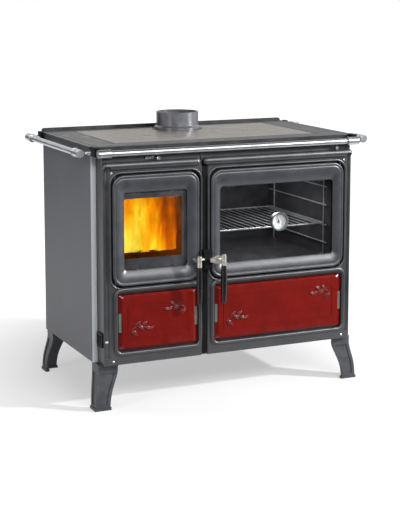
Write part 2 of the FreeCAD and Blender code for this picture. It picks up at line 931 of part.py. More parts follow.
def thermometerCase():
    # One turned part: bezel, barrel, foot on the glass, clamping nut and probe.
    back = glassFront + glassThickness
    nutBack = back + thermoNutHeight
    dialBack = thermoFront + dialDepth + dialThickness
    bezelBack = thermoFront + thermoBezelDepth
    profile = [(0, back + thermoProbe), (thermoStem, back + thermoProbe), (thermoStem, nutBack),
               (thermoNut, nutBack), (thermoNut, back), (thermoStem, back), (thermoStem, glassFront),
               (thermoFoot, glassFront), (thermoFoot, thermoBackFront), (thermoBarrel, thermoBackFront),
               (thermoBarrel, bezelBack), (thermoRadius, bezelBack), (thermoRadius, thermoFront),
               (thermoWindow, thermoFront), (thermoWindow, dialBack), (0, dialBack)]
    return turned(profile, thermoCentre(), Y, X)


def thermometerDial():
    face = thermoFront + dialDepth
    centre = thermoCentre()
    plate = rod(centre + Y * face, Y, thermoWindow - wireGap, dialThickness)
    pin = rod(centre + Y * (face - needlePinLength), Y, needlePin, needlePinLength)
    return joined([plate, pin])


def thermometerLens():
    return rod(thermoCentre() + Y * (thermoFront + lensInset), Y, thermoWindow - wireGap, lensThickness)


def thermometerNeedle():
    face = thermoFront + dialDepth - needleStand
    centre = thermoCentre()
    hub = rod(centre + Y * (face - needleHubDepth), Y, needleHub, needleHubDepth)
    x, z = centre.x, centre.z
    root, tip = needleRootWidth / 2, needleTipWidth / 2
    outline = [(x - root, z - needleTail, 0), (x + root, z - needleTail, 0),
               (x + tip, z + needleLength, 0), (x - tip, z + needleLength, 0)]
    blade = frontPlate(outline, face - needleHubDepth + needleThickness / 2,
                       face - needleThickness / 2)
    needle = joined([hub, blade]).cut(rod(centre + Y * (face - overrun), Y, needlePin + runFit, overrun * 2))
    needle.rotate(centre, Y, needleRest)
    return needle


def drawerTile(tile):
    # Glazed front: a pillow with bevelled edges, a raised line frame and clip notches.
    outline = tileOutline(tile)
    field = rectangle(tile.left + tileSideBevel, tile.right - tileSideBevel,
                      tileBottom + tileTopBevel, tileTop - tileTopBevel, tileCorner)
    slab = joined([frontPlate(outline, tileEdgeFront, tileBack),
                   frontTaper(outline, tileEdgeFront, field, tileFace)])
    line = rectangle(tile.left + tileLineInset, tile.right - tileLineInset,
                     tileBottom + tileLineRise, tileTop - tileLineRise, tileCorner)
    bead = frontPlate(grown(line, tileLineWidth), tileFace - tileLineHeight, tileEdgeFront)
    bead = bead.cut(frontPlate(line, tileFace - overrun, tileEdgeFront + overrun))
    return joined([slab, bead]).cut([notch(tile, side, 0) for side in (-1, 1)])


def notch(tile, side, slack):
    edge = tile.left if side < 0 else tile.right
    inner = edge - side * (notchWidth - slack)
    outer = edge + side * overrun
    z = (tileBottom + tileTop) / 2
    half = notchHeight / 2 - slack
    return block(min(inner, outer), max(inner, outer), tileFace - overrun, tileBack + overrun,
                 z - half, z + half)


def tileClips(tile):
    # A clip fills each notch and bears on the drawer front behind the tile.
    bounds = frontPlate(tileOutline(tile), tileClipFront, tileBack)
    return Part.makeCompound([bounds.common(notch(tile, side, seatGap)) for side in (-1, 1)])


def drawerBox(drawer):
    # Open sheet box whose front wall rises behind the tile to carry it.
    x0, x1 = drawer.tile.left + drawerInset, drawer.tile.right - drawerInset
    y0, y1 = tileBack, tileBack + drawer.depth
    z0 = tileBottom + drawerRise
    z1 = z0 + drawer.height
    wall = drawerWall
    outer = block(x0, x1, y0, y1, z0, z1)
    inner = block(x0 + wall, x1 - wall, y0 + wall, y1 - wall, z0 + wall, z1 + overrun)
    shell = outer.cut(inner)
    front = frontPlate(rectangle(x0, x1, z0, tileTop - drawerInset, tileCorner), y0, y0 + wall)
    return joined([shell, front])


def drawerRunners():
    # Folded rails that stand on the base panel under the edges of both drawers.
    solids = []
    z0 = legHeight + panelSheet * 2
    z1 = tileBottom + drawerRise - seatGap
    for drawer in (ashDrawer, woodDrawer):
        x0, x1 = drawer.tile.left + drawerInset, drawer.tile.right - drawerInset
        y0 = castReach + panelSheet * 2 + runnerInset
        y1 = tileBack + drawer.depth
        for x, side in ((x0, 1), (x1, -1)):
            inner = x + side * runnerWidth
            top = block(min(x, inner), max(x, inner), y0, y1, z1 - runnerSheet, z1)
            webX = x + side * runnerInset
            web = block(min(webX, webX + side * runnerSheet), max(webX, webX + side * runnerSheet),
                        y0, y1, z0, z1)
            foot = block(min(x, inner), max(x, inner), y0, y1, z0, z0 + runnerSheet)
            solids.append(joined([top, web, foot]))
    return Part.makeCompound(solids)


def domedKnob(x, y, z, radius, head):
    profile = [(0, 0), (radius - knobDome, 0), (radius, knobDome), (radius, head - knobDome),
               (radius - knobDome, head), (0, head)]
    return turned(profile, point(x, y, z), Y, X)


def secondaryAirKnob():
    # The knob's stem runs in the slot of the band; its plate slides behind the slot.
    z = bandBottom + knobRise
    back = bandSetback + bandWall
    head = domedKnob(airKnobX, knobFront, z, knobRadius, knobHead)
    stem = rod(point(airKnobX, knobFront + knobDome, z), Y, knobStem, back - knobFront)
    plate = block(airKnobX - airPlateWidth / 2, airKnobX + airPlateWidth / 2, back + seatGap,
                  back + seatGap + airPlateSheet, z - airPlateHeight / 2, z + airPlateHeight / 2)
    return joined([head, stem, plate])


def damperRod():
    z = bandBottom + knobRise
    head = domedKnob(damperX, knobFront, z, knobRadius, knobHead)
    stem = rod(point(damperX, knobFront + knobDome, z), Y, knobStem, damperRodLength)
    return joined([head, stem])


def primaryAirKnob():
    ball = Part.makeSphere(primaryBall, point(primaryX, primaryBallY, primaryHeight))
    stem = rod(point(primaryX, primaryBallY, primaryHeight), Y, primaryStem, primaryStemLength)
    return joined([ball, stem])


def airInletPlate():
    # Slotted cover on the outside of the left casting's flank.
    z0 = primaryHeight - inletHeight / 2
    z1 = z0 + inletHeight
    outline = rectangle(inletFront, inletBack, z0, z1, inletCorner)
    plate = Part.Face(roundedWire(outline, fromSide(castInset))).extrude(X * -inletThickness)
    pitch = (inletHeight - inletSlotMargin * 2) / inletSlotCount
    for number in range(inletSlotCount):
        z = z0 + inletSlotMargin + pitch * number + (pitch - inletSlotWidth) / 2
        plate = plate.cut(block(castInset - inletThickness - overrun,
                                castInset - inletThickness + inletSlotDepth,
                                inletFront + inletSlotMargin, inletBack - inletSlotMargin,
                                z, z + inletSlotWidth))
    return plate


def castingScrews():
    solids = []
    for x, z in screwPlaces():
        profile = [(0, -screwHead), (screwHeadRadius / 2, -screwHead), (screwHeadRadius, -screwHead / 2),
                   (screwHeadRadius, 0), (screwShank, 0), (screwShank, screwLength), (0, screwLength)]
        solids.append(turned(profile, point(x, 0, z), Y, X))
    return Part.makeCompound(solids)


def sleeve(start, axis, spoke, length):
    # Closed socket for one end of a rail, with a bead round its mouth.
    profile = [(0, 0), (sleeveRadius, 0), (sleeveRadius, length - beadLength),
               (beadRadius, length - beadLength), (beadRadius, length), (0, length)]
    return turned(profile, start, axis, spoke)


def sleeveBore(start, axis, length):
    return rod(start + axis * sleeveWall, axis, railRadius + railFit, length)


def neckedArm(start, axis, spoke, length):
    profile = [(0, 0), (armRadius, 0), (armRadius, armCollar), (armNeck, armCollar * 2),
               (armNeck, length - armCollar * 3), (armRadius, length - armCollar * 2),
               (armRadius, length), (0, length)]
    return turned(profile, start, axis, spoke)


def railSleeves():
    # Chrome sockets on their arms, each closed by a flat cap.
    solids = []
    frontStart = point(0, frontRailY, railHeight)
    body = sleeve(frontStart, X, Z, frontSleeveLength)
    arm = rod(point(frontArmX, frontRailY, railHeight), Y, frontArmRadius, bracketFront - frontRailY)
    solids.append(joined([body, arm]).cut(sleeveBore(frontStart, X, frontSleeveLength)))
    for start, axis, armY, armX in (
            (point(-sideRailOut, sideSleeveFront, railHeight), Y, frontArmY, -bracketOut),
            (point(-sideRailOut, sideSleeveRear, railHeight), -Y, rearArmY, -frameOverhang - rearBracketOut)):
        body = sleeve(start, axis, Z, sideSleeveLength)
        arm = neckedArm(point(armX, armY, railHeight), -X, Z, sideRailOut + armX)
        solids.append(joined([body, arm]).cut(sleeveBore(start, axis, sideSleeveLength)))
    for start, axis in ((point(0, frontRailY, railHeight), -X),
                        (point(-sideRailOut, sideSleeveFront, railHeight), -Y),
                        (point(-sideRailOut, sideSleeveRear, railHeight), Y)):
        solids.append(rod(start, axis, capRadius, capThickness))
    return Part.makeCompound(solids + [mirrored(solid) for solid in solids])


def railTube(start, axis, length):
    tube = rod(start, axis, railRadius, length)
    return tube.cut(rod(start - axis * overrun, axis, railRadius - railWall, length + overrun * 2))


def frontRail():
    length = bodyWidth - railEndGap * 2
    return railTube(point(railEndGap, frontRailY, railHeight), X, length)


def sideRail():
    length = sideSleeveRear - sideSleeveFront - railEndGap * 2
    return railTube(point(-sideRailOut, sideSleeveFront + railEndGap, railHeight), Y, length)


def frameOutline():
    x0, x1 = -frameOverhang, bodyWidth + frameOverhang
    return [(x0, frameFront, frameCorner), (x1, frameFront, frameCorner),
            (x1, frameRear, frameRearCorner), (x0, frameRear, frameRearCorner)]


def railBrackets():
    # Blocks at the frame's corners carry the arms.
    frame = planPlate(frameOutline(), panelTop, bracketTop + overrun)
    front = planPlate(rectangle(-bracketOut, bracketIn, bracketFront, bracketFront + bracketDepth,
                                bracketCorner), bracketBottom, bracketTop).cut(frame)
    foot = block(-bracketOut, bracketIn, bracketFront + bracketDepth - bracketCorner,
                 castReach - seatGap, bracketBottom, panelTop)
    front = joined([front, foot])
    x0 = -frameOverhang - rearBracketOut
    y0 = rearArmY - rearBracketWidth / 2
    rear = planPlate(rectangle(x0, 0, y0, y0 + rearBracketWidth, bracketCorner), bracketBottom, bracketTop)
    rear = rear.cut(frame)
    left = [front, rear]
    return Part.makeCompound(left + [mirrored(solid) for solid in left])


def hobOutline(reach):
    x0, x1 = hobSideInset, bodyWidth - hobSideInset
    return rectangle(x0 - reach, x1 + reach, hobFront - reach, hobRear + reach, max(hobCorner + reach, 0))


def topFrame():
    # Cast frame: plate with a skirt, a ledge under the hob plate and the rear upstand.
    underside = hobHeight - framePlate
    plate = planPlate(frameOutline(), underside, hobHeight)
    inside = [(u + (frameSkirt if u < middle else -frameSkirt),
               v + (frameSkirt if v < ringY else -frameSkirt), max(r - frameSkirt, castEdge))
              for u, v, r in frameOutline()]
    skirt = planPlate(frameOutline(), panelTop, underside).cut(
        planPlate(inside, panelTop - overrun, underside + overrun))
    ledge = planPlate(hobOutline(ledgeRoot), panelTop, underside)
    lobe = rod(point(middle, collarY, panelTop), Z, collarLobe, hobHeight - panelTop)
    upstand = Part.Face(roundedWire(
        [(0, underside, 0), (bodyWidth, underside, 0), (bodyWidth, hobHeight + upstandRise, upstandRound),
         (0, hobHeight + upstandRise, upstandRound)], inFront(frameRear - upstandThickness)))
    upstand = upstand.extrude(Y * upstandThickness)
    frame = joined([plate.fuse([skirt, ledge, upstand]).cut(
        [planPlate(hobOutline(0), underside, hobHeight + overrun),
         planPlate(hobOutline(-ledgeWidth), panelTop - overrun, underside + overrun)]), lobe])
    frame = frame.cut(rod(point(middle, collarY, panelTop - overrun), Z, flueHole,
                          frameHeight + overrun * 2))
    outer = [(u + (grooveInset if u < middle else -grooveInset),
              v + (grooveInset if v < ringY else -grooveInset * 2), max(r - grooveInset, castEdge))
             for u, v, r in frameOutline()]
    inner = [(u + (grooveWidth if u < middle else -grooveWidth),
              v + (grooveWidth if v < ringY else -grooveWidth), r - grooveWidth) for u, v, r in outer]
    base = hobHeight - grooveDepth
    groove = planPlate(outer, base, hobHeight + overrun).cut(planPlate(inner, base - overrun,
                                                                       hobHeight + overrun * 2))
    groove = groove.cut(rod(point(middle, collarY, base - overrun), Z, collarLobe, overrun * 4))
    return frame.cut(groove)


def ringCentres():
    return [point(ringInset, ringY, 0), point(bodyWidth - ringInset, ringY, 0)]


def steppedHole(centre, radius):
    # The upper half of a hole is wider, so that a ring can rest in it.
    ledge = hobHeight - framePlate + ringStep
    wide = rod(centre + Z * ledge, Z, radius, framePlate)
    narrow = rod(centre + Z * (hobHeight - framePlate - overrun), Z, radius - ringRebate,
                 framePlate + overrun)
    return [wide, narrow]


def hobPlate():
    plate = planPlate(hobOutline(-hobGap), hobHeight - framePlate, hobHeight)
    cuts = [rod(point(middle, collarY, hobHeight - framePlate - overrun), Z, collarLobe + hobGap,
                framePlate + overrun * 2)]
    for centre in ringCentres():
        cuts += steppedHole(centre, ringOuter)
    return plate.cut(cuts)


def hobRing(centre, outer, inner):
    # A stepped ring that rests in the hole round it and carries the next one.
    bottom = hobHeight - framePlate
    ledge = bottom + ringStep + seatGap
    disc = joined([rod(centre + Z * ledge, Z, outer - ringGap, hobHeight - ledge),
                   rod(centre + Z * bottom, Z, outer - ringRebate - ringGap, framePlate)])
    return disc.cut(steppedHole(centre, inner)) if inner else disc


def outerRing(centre):
    ring = hobRing(centre, ringOuter, ringMiddle)
    base = centre + Z * (hobHeight - grooveDepth)
    groove = rod(base, Z, ringGroove + grooveWidth / 2, overrun)
    return ring.cut(groove.cut(rod(base, Z, ringGroove - grooveWidth / 2, overrun)))


def innerRing(centre):
    return hobRing(centre, ringMiddle, ringInner)


def ringLid(centre):
    # The lid's pocket has a bar across it for the lifting hook.
    lid = hobRing(centre, ringInner, 0)
    half, width = lidSlotLength / 2, lidSlotWidth / 2
    pocket = planPlate(rectangle(centre.x - half, centre.x + half, centre.y - width, centre.y + width,
                                 width - seatGap), hobHeight - lidSlotDepth, hobHeight + overrun)
    bar = block(centre.x - lidBarWidth / 2, centre.x + lidBarWidth / 2, centre.y - width, centre.y + width,
                hobHeight - lidSlotDepth / 2, hobHeight + overrun)
    return lid.cut(pocket.cut(bar.common(pocket).cut(
        block(centre.x - half, centre.x + half, centre.y - width, centre.y + width, hobHeight,
              hobHeight + overrun * 2))))


def flueCollar():
    bore = collarPipe - collarWall
    flangeTop = hobHeight + collarFlangeHeight
    spigot = flueHole - ringGap
    profile = [(spigot - collarWall, panelTop), (spigot, panelTop), (spigot, hobHeight),
               (collarFlange, hobHeight), (collarFlange, flangeTop - collarFillet / 2),
               (collarFlange - collarFillet / 2, flangeTop), (collarPipe + collarFillet, flangeTop),
               (collarPipe, flangeTop + collarFillet), (collarPipe, collarTop), (bore, collarTop),
               (bore, hobHeight + collarFillet), (spigot - collarWall, hobHeight)]
    return turned(profile, point(middle, collarY, 0), Z, X)


def legSections(outerReach, innerReach, frontReachIn, backReach):
    # Plan rectangles up the leg; the shares give the sabre curve between foot and top.
    wires = []
    shank = legHeight - legFlange - footHeight
    for rise, splay in zip(legRiseShares, legSplayShares):
        z = footHeight + shank * rise
        topRear, footRear = legFrontTop + legDepthTop, footFront + footDepth
        x0 = legOuterInset - (legOuterInset + footOut) * splay + outerReach
        x1 = legInnerInset - (legInnerInset - footInner) * splay + innerReach
        y0 = legFrontTop - (legFrontTop - footFront - footPad) * splay + frontReachIn
        y1 = topRear - (topRear - footRear) * splay + backReach
        corners = [point(x0, y0, z), point(x1, y0, z), point(x1, y1, z), point(x0, y1, z)]
        wires.append(Part.makePolygon(corners + corners[:1]))
    return Part.makeLoft(wires, True, False)


def frontLeg():
    # Sabre leg: an angle of two recessed panels between a foot and a top flange.
    shank = legSections(0, 0, 0, 0)
    hollow = legSections(legWall, overrun, legWall, overrun)
    low, high = footHeight + panelFootRise, legHeight - panelHeadDrop
    level = block(-legHeight, legHeight, -legHeight, legHeight, low, high)
    frontField = legSections(panelBorder, -panelBorder, -overrun, 0)
    frontField = frontField.cut(legSections(0, 0, panelRecess, overrun)).common(level)
    sideField = legSections(-overrun, 0, panelBorder, -panelBorder)
    sideField = sideField.cut(legSections(panelRecess, overrun, -overrun, overrun)).common(level)
    pad = planPlate(rectangle(-footOut - footPad, footInner + footPad, footFront,
                              footFront + footDepth + footPad, padRound), 0, footHeight)
    pad = pad.cut(block(-footOut + legWall + footPad, footInner + footPad + overrun,
                        footFront + legWall + footPad * 2, footFront + footDepth + footPad + overrun,
                        -overrun, footHeight + overrun))
    flange = block(legOuterInset, legInnerInset + footPad, legFrontTop, legFrontTop + legDepthTop,
                   legHeight - legFlange, legHeight)
    shank = shank.cut([hollow, frontField, sideField])
    return joined([shank, pad, flange])


def rearLeg():
    leg = frontLeg()
    mirrorY = (footFront + legRearFoot) / 2
    return leg.mirror(point(0, mirrorY, 0), Y)


def fireboxCasing():
    # Cast box, open to the front, with an ash hole below and a smoke hole beside the oven.
    wall = fireboxWall
    shell = block(fireboxLeft, fireboxRight, lipBack, fireboxBack, fireboxBottom, fireboxTop)
    inner = block(fireboxLeft + wall, fireboxRight - wall, lipBack - overrun, fireboxBack - wall,
                  fireboxBottom + wall, fireboxTop - wall)
    ash = block(fireboxLeft + grateMargin + ashHoleLap, fireboxRight - grateMargin - ashHoleLap,
                grateFront + ashHoleLap, grateFront + grateLength - ashHoleLap,
                fireboxBottom - overrun, fireboxBottom + wall + overrun)
    smoke = rod(point(fireboxRight - wall - overrun, fireboxBack - smokeHole * 2, fireboxTop - smokeHole), X,
                smokeHole / 2, wall + overrun * 2)
    return shell.cut([inner, ash, smoke])


def firebrickLining():
    # Side and rear bricks in courses, over a floor that frames the grate.
    wall = fireboxWall + seatGap
    x0, x1 = fireboxLeft + wall, fireboxRight - wall
    y0, y1 = lipBack + seatGap, fireboxBack - wall
    z0 = fireboxBottom + fireboxWall
    floor = block(x0, x1, y0, y1, z0, z0 + brickFloor)
    floor = floor.cut(block(fireboxLeft + grateMargin - brickGap, fireboxRight - grateMargin + brickGap,
                            grateFront - brickGap, grateFront + grateLength + brickGap,
                            z0 - overrun, z0 + brickFloor + overrun))
    solids = [floor]
    base = z0 + brickFloor
    course = brickHeight / brickCourses
    run = (y1 - brickRear - y0) / brickColumns
    for row in range(brickCourses):
        low = base + course * row
        high = low + course - brickJoint
        for column in range(brickColumns):
            front = y0 + run * column
            back = front + run - brickJoint
            solids.append(block(x0, x0 + brickSide, front, back, low, high))
            solids.append(block(x1 - brickSide, x1, front, back, low, high))
        solids.append(block(x0, x1, y1 - brickRear, y1, low, high))
    return Part.makeCompound([solid.makeChamfer(brickJoint / 2, solid.Edges) if solid is not floor else solid
                              for solid in solids])


def fireGrate():
    # Slotted grate that rests on the casing round the ash hole.
    x0, x1 = fireboxLeft + grateMargin, fireboxRight - grateMargin
    y0, y1 = grateFront, grateFront + grateLength
    z0 = fireboxBottom + fireboxWall
    grate = block(x0, x1, y0, y1, z0, z0 + grateThickness)
    pitch = (x1 - x0 - grateRim * 2) / grateBars
    slots = []
    for number in range(grateBars):
        x = x0 + grateRim + pitch * (number + (1 - grateSlotShare) / 2)
        half = (y0 + y1) / 2
        slots.append(block(x, x + pitch * grateSlotShare, y0 + grateRim, half - grateRim / 2,
                           z0 - overrun, z0 + grateThickness + overrun))
        slots.append(block(x, x + pitch * grateSlotShare, half + grateRim / 2, y1 - grateRim,
                           z0 - overrun, z0 + grateThickness + overrun))
    return grate.cut(slots)


def ovenLiner():
    # Sheet box with an outward flange that seats behind the casting's lip.
    wall = ovenWall
    shell = block(ovenLeft, ovenRight, lipBack, ovenBack, ovenBottom, ovenTop)
    flange = block(ovenLeft - ovenFlange, ovenRight + ovenFlange, lipBack, lipBack + wall,
                   ovenBottom - ovenFlange, ovenTop + ovenFlange)
    inner = block(ovenLeft + wall, ovenRight - wall, lipBack - overrun, ovenBack - wall,
                  ovenBottom + wall, ovenTop - wall)
    return joined([shell, flange]).cut(inner)


def guideHeight(share):
    return ovenBottom + (ovenTop - ovenBottom) * share


def rackGuides():
    # Chrome wire ladders that stand against both side walls of the oven.
    x = ovenLeft + ovenWall + guideWire
    runs = [rod(point(x + guideWire * 2 - wireGap, guideFront, guideHeight(share)), Y, guideWire,
                guideRear - guideFront) for share in guideRiseShares]
    posts = [rod(point(x, y, ovenBottom + ovenWall), Z, guideWire, ovenTop - ovenBottom - ovenWall * 2)
             for y in (guideFront + guidePostInset, guideRear - guidePostInset)]
    ladder = joined(posts + runs)
    return Part.makeCompound([ladder, ladder.mirror(point((ovenLeft + ovenRight) / 2, 0, 0), X)])


def hexRod(start, length, radius):
    # A shelf wire, drawn with six flats because there are many of them.
    corners = [start + X * radius * math.cos(math.pi / 3 * side) + Z * radius * math.sin(math.pi / 3 * side)
               for side in range(6)]
    return Part.Face(Part.makePolygon(corners + corners[:1])).extrude(Y * length)


def ovenRack():
    # Wire shelf that lies on the second pair of guide wires.
    inset = ovenWall + guideWire * 2 + rackSideGap
    x0, x1 = ovenLeft + inset + rackFrame, ovenRight - inset - rackFrame
    y0, y1 = rackFront, rackRear
    z = guideHeight(guideRiseShares[1]) + guideWire + seatGap + rackFrame
    rim = beadRing(rectangle(x0, x1, y0, y1, rackFrame * 3), inPlan(z), Z, rackFrame)
    pitch = (x1 - x0) / (rackBars + 1)
    bars = [hexRod(point(x0 + pitch * (number + 1), y0, z), y1 - y0, rackWire)
            for number in range(rackBars)]
    return rim.fuse(bars)


def build():
    os.makedirs("parts", exist_ok=True)
    left = sidePanel()
    save("side_panel_left", left)
    save("side_panel_right", mirrored(left))
    save("base_panel", basePanel())
    save("back_panel", backPanel())
    save("front_casting_left", frontCasting(True))
    save("front_casting_right", frontCasting(False))
    save("door_keeper", doorKeeper())
    save("casting_screws", castingScrews())
    save("air_inlet_plate", airInletPlate())
    save("top_frame", topFrame())
    save("hob_plate", hobPlate())
    save("flue_collar", flueCollar())
    front, rear = frontLeg(), rearLeg()
    save("leg_front_left", front)
    save("leg_front_right", mirrored(front))
    save("leg_rear_left", rear)
    save("leg_rear_right", mirrored(rear))
    save("front_rail", frontRail())
    side = sideRail()
    save("left_rail", side)
    save("right_rail", mirrored(side))
    save("rail_sleeves", railSleeves())
    save("rail_brackets", railBrackets())
    save("firebox_casing", fireboxCasing())
    save("firebrick_lining", firebrickLining())
    save("fire_grate", fireGrate())
    save("oven_liner", ovenLiner())
    save("rack_guides", rackGuides())
    save("drawer_runners", drawerRunners())
    save("oven_rack", ovenRack())
    for name, door, nose, hole in (("fire", fireDoor, fireNose, False), ("oven", ovenDoor, ovenNose, True)):
        save(name + "_door_frame", doorFrame(door))
        save(name + "_door_glass", doorGlass(door, hole))
        save(name + "_door_seal", doorSeal(door))
        save(name + "_glass_clips", glassClips(door))
        save(name + "_handle_lever", handleLever(door, nose))
        save(name + "_handle_grip", handleGrip(door))
    save("thermometer_case", thermometerCase())
    save("thermometer_dial", thermometerDial())
    save("thermometer_lens", thermometerLens())
    save("thermometer_needle", thermometerNeedle())
    for name, drawer in (("ash", ashDrawer), ("wood", woodDrawer)):
        save(name + "_drawer_box", drawerBox(drawer))
        save(name + "_drawer_tile", drawerTile(drawer.tile))
        save(name + "_tile_clips", tileClips(drawer.tile))
    for name, centre in zip(("left", "right"), ringCentres()):
        save(name + "_outer_ring", outerRing(centre))
        save(name + "_inner_ring", innerRing(centre))
        save(name + "_ring_lid", ringLid(centre))
    save("secondary_air_knob", secondaryAirKnob())
    save("damper_rod", damperRod())
    save("primary_air_knob", primaryAirKnob())


build()
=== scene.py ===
import bpy
import math
import numpy as np
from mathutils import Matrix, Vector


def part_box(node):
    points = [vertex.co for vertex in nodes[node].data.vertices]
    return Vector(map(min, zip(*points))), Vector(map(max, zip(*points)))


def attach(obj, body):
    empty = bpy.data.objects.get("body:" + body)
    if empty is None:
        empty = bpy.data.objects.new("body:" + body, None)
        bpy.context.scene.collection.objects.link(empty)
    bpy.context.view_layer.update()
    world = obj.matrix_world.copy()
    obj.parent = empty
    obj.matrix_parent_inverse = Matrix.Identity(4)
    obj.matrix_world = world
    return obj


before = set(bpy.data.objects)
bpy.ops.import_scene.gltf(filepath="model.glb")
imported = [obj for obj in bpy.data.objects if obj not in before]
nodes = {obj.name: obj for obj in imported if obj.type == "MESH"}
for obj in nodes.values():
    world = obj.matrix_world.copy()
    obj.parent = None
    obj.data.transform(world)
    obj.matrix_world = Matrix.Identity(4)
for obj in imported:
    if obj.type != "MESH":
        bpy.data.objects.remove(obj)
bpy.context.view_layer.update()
print("frame loaded with", len(nodes), "nodes")


def toLinear(hexColour):
    # sRGB hex text to the linear values that the shaders take
    parts = [int(hexColour[i:i + 2], 16) / 255 for i in (1, 3, 5)]
    linear = [c / 12.92 if c <= 0.04045 else ((c + 0.055) / 1.055) ** 2.4 for c in parts]
    return (*linear, 1.0)


def linkUp(tree, node, links):
    # links are socket: output, or socket: node where its first output is meant
    for key, source in links.items():
        output = source.outputs[0] if isinstance(source, bpy.types.Node) else source
        tree.links.new(output, node.inputs[key])


def addNode(tree, kind, settings=None, links=None):
    # settings are the node's properties, or its sockets by name or number
    node = tree.nodes.new(kind)
    for key, value in (settings or {}).items():
        if isinstance(key, str) and hasattr(node, key):
            setattr(node, key, value)
        else:
            node.inputs[key].default_value = value
    linkUp(tree, node, links or {})
    return node


noiseRoughness = 0.55  # the share of its strength that each finer octave keeps
middleSpan = (0.35, 0.65)  # where most of a noise's values lie
wideSpan = (0.3, 0.7)  # where nearly all of them lie


def lumps(sizeMm, detail=2.0):
    # noise settings for lumps that are sizeMm across on the real piece
    return {"Scale": 1000.0 / sizeMm, "Detail": detail, "Roughness": noiseRoughness}


def stretch(fromLow, fromHigh, toLow=0.0, toHigh=1.0):
    # range settings that take one span of values to another
    return {"From Min": fromLow, "From Max": fromHigh, "To Min": toLow, "To Max": toHigh}


def tones(first=None, second=None):
    # colour mix settings, whose result is output 2; a tone left out is linked to its socket
    given = ((6, first), (7, second))
    return {"data_type": "RGBA", **{socket: toLinear(tone) for socket, tone in given if tone}}


def startMaterial(name):
    # a new material with its tree, its shader and the piece's own coordinates
    material = bpy.data.materials.new(name)
    material.use_nodes = True
    tree = material.node_tree
    place = addNode(tree, "ShaderNodeTexCoord").outputs["Object"]
    return material, tree, tree.nodes["Principled BSDF"], place


def middleOf(node):
    # the middle of a node's box in plan, and its half sizes along x and y
    low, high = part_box(node)
    middle = ((low[0] + high[0]) / 2, (low[1] + high[1]) / 2, 0)
    return middle, ((high[0] - low[0]) / 2, (high[1] - low[1]) / 2)


# worn rims of the hob rings, painted shade in their joints, and painted shade along the plate's
# edge (metres)
ringLines = {"wornHalf": 0.0024, "jointHalf": 0.0005, "patchMm": 22,
             "patches": (0.38, 0.55, 0.1, 0.8), "rim": "#b0aba3", "gapShade": "#151514",
             "gapShadeFrom": 0.006, "gapShadeTo": 0.0035}


def markRings(tree, place, base):
    # lines where the distance to the nearer ring centre equals a ring's radius, the worn ones in
    # patches and the dark ones painted shade, then painted shade by distance to the plate's sides
    flat = addNode(tree, "ShaderNodeVectorMath", {"operation": "MULTIPLY", 1: (1, 1, 0)},
                   {0: place})
    reaches = {}
    for socket, node in enumerate(("left_outer_ring", "right_outer_ring")):
        reaches[socket] = addNode(tree, "ShaderNodeVectorMath", {
            "operation": "DISTANCE", 1: middleOf(node)[0]}, {0: flat}).outputs["Value"]
    reach = addNode(tree, "ShaderNodeMath", {"operation": "MINIMUM"}, reaches)
    patchy = addNode(tree, "ShaderNodeTexNoise", lumps(ringLines["patchMm"]), {"Vector": place})
    patchy = addNode(tree, "ShaderNodeMapRange", stretch(*ringLines["patches"]), {"Value": patchy})
    for node in ("left_outer_ring", "left_inner_ring", "left_ring_lid"):
        radius = middleOf(node)[1][0]
        # painted shade: a thin dark line at each ring's radius stands in for the shade in its joint
        for width, tone in (("wornHalf", "rim"), ("jointHalf", "gapShade")):
            cover = addNode(tree, "ShaderNodeMath", {
                "operation": "COMPARE", 1: radius, 2: ringLines[width]}, {0: reach})
            if tone == "rim":
                cover = addNode(tree, "ShaderNodeMath", {"operation": "MULTIPLY"},
                                {0: cover, 1: patchy})
            base = addNode(tree, "ShaderNodeMix", tones(second=ringLines[tone]),
                           {0: cover, 6: base}).outputs[2]
    middle, half = middleOf("hob_plate")
    offset = addNode(tree, "ShaderNodeVectorMath", {"operation": "SUBTRACT", 1: middle}, {0: place})
    offset = addNode(tree, "ShaderNodeVectorMath", {"operation": "ABSOLUTE"}, {0: offset})
    sides = addNode(tree, "ShaderNodeSeparateXYZ", {}, {0: offset})
    # painted shade: the plate darkens towards its sides, in place of the shade in the gap round it
    for axis in (0, 1):
        span = stretch(half[axis] - ringLines["gapShadeFrom"], half[axis] - ringLines["gapShadeTo"])
        edge = addNode(tree, "ShaderNodeMapRange", span, {"Value": sides.outputs[axis]})
        base = addNode(tree, "ShaderNodeMix", tones(second=ringLines["gapShade"]),
                       {0: edge, 6: base}).outputs[2]
    return base


def grainedFinish(name, look):
    # a slow mottle in colour and gloss over a fine raised grain, half as high as it is wide
    material, tree, shader, place = startMaterial(name)
    mottle = addNode(tree, "ShaderNodeTexNoise", lumps(look["mottleMm"], detail=4.0),
                     {"Vector": place})
    factor = addNode(tree, "ShaderNodeMapRange", stretch(*middleSpan), {"Value": mottle})
    base = addNode(tree, "ShaderNodeMix", tones(*look["colours"]), {0: factor}).outputs[2]
    if "ringed" in look:
        base = markRings(tree, place, base)
    if "paintedFoldHighlight" in look:
        # painted highlight: a pale tone painted on the sheet's front fold, up to a depth in y
        tone, front, rear = look["paintedFoldHighlight"]
        depth = addNode(tree, "ShaderNodeSeparateXYZ", {}, {0: place}).outputs["Y"]
        past = addNode(tree, "ShaderNodeMapRange", stretch(front, rear), {"Value": depth})
        base = addNode(tree, "ShaderNodeMix", tones(tone), {0: past, 7: base}).outputs[2]
    gloss = addNode(tree, "ShaderNodeMapRange", stretch(*wideSpan, *look["roughness"]),
                    {"Value": mottle})
    grain = addNode(tree, "ShaderNodeTexNoise", lumps(look["grainMm"], look.get("detail", 2.0)),
                    {"Vector": place})
    bump = addNode(tree, "ShaderNodeBump", {
        "Strength": look["strength"], "Distance": look["grainMm"] / 2000.0}, {"Height": grain})
    linkUp(tree, shader, {"Base Color": base, "Roughness": gloss, "Normal": bump})
    for socket, value in look.get("shader", {}).items():
        shader.inputs[socket].default_value = value
    return material
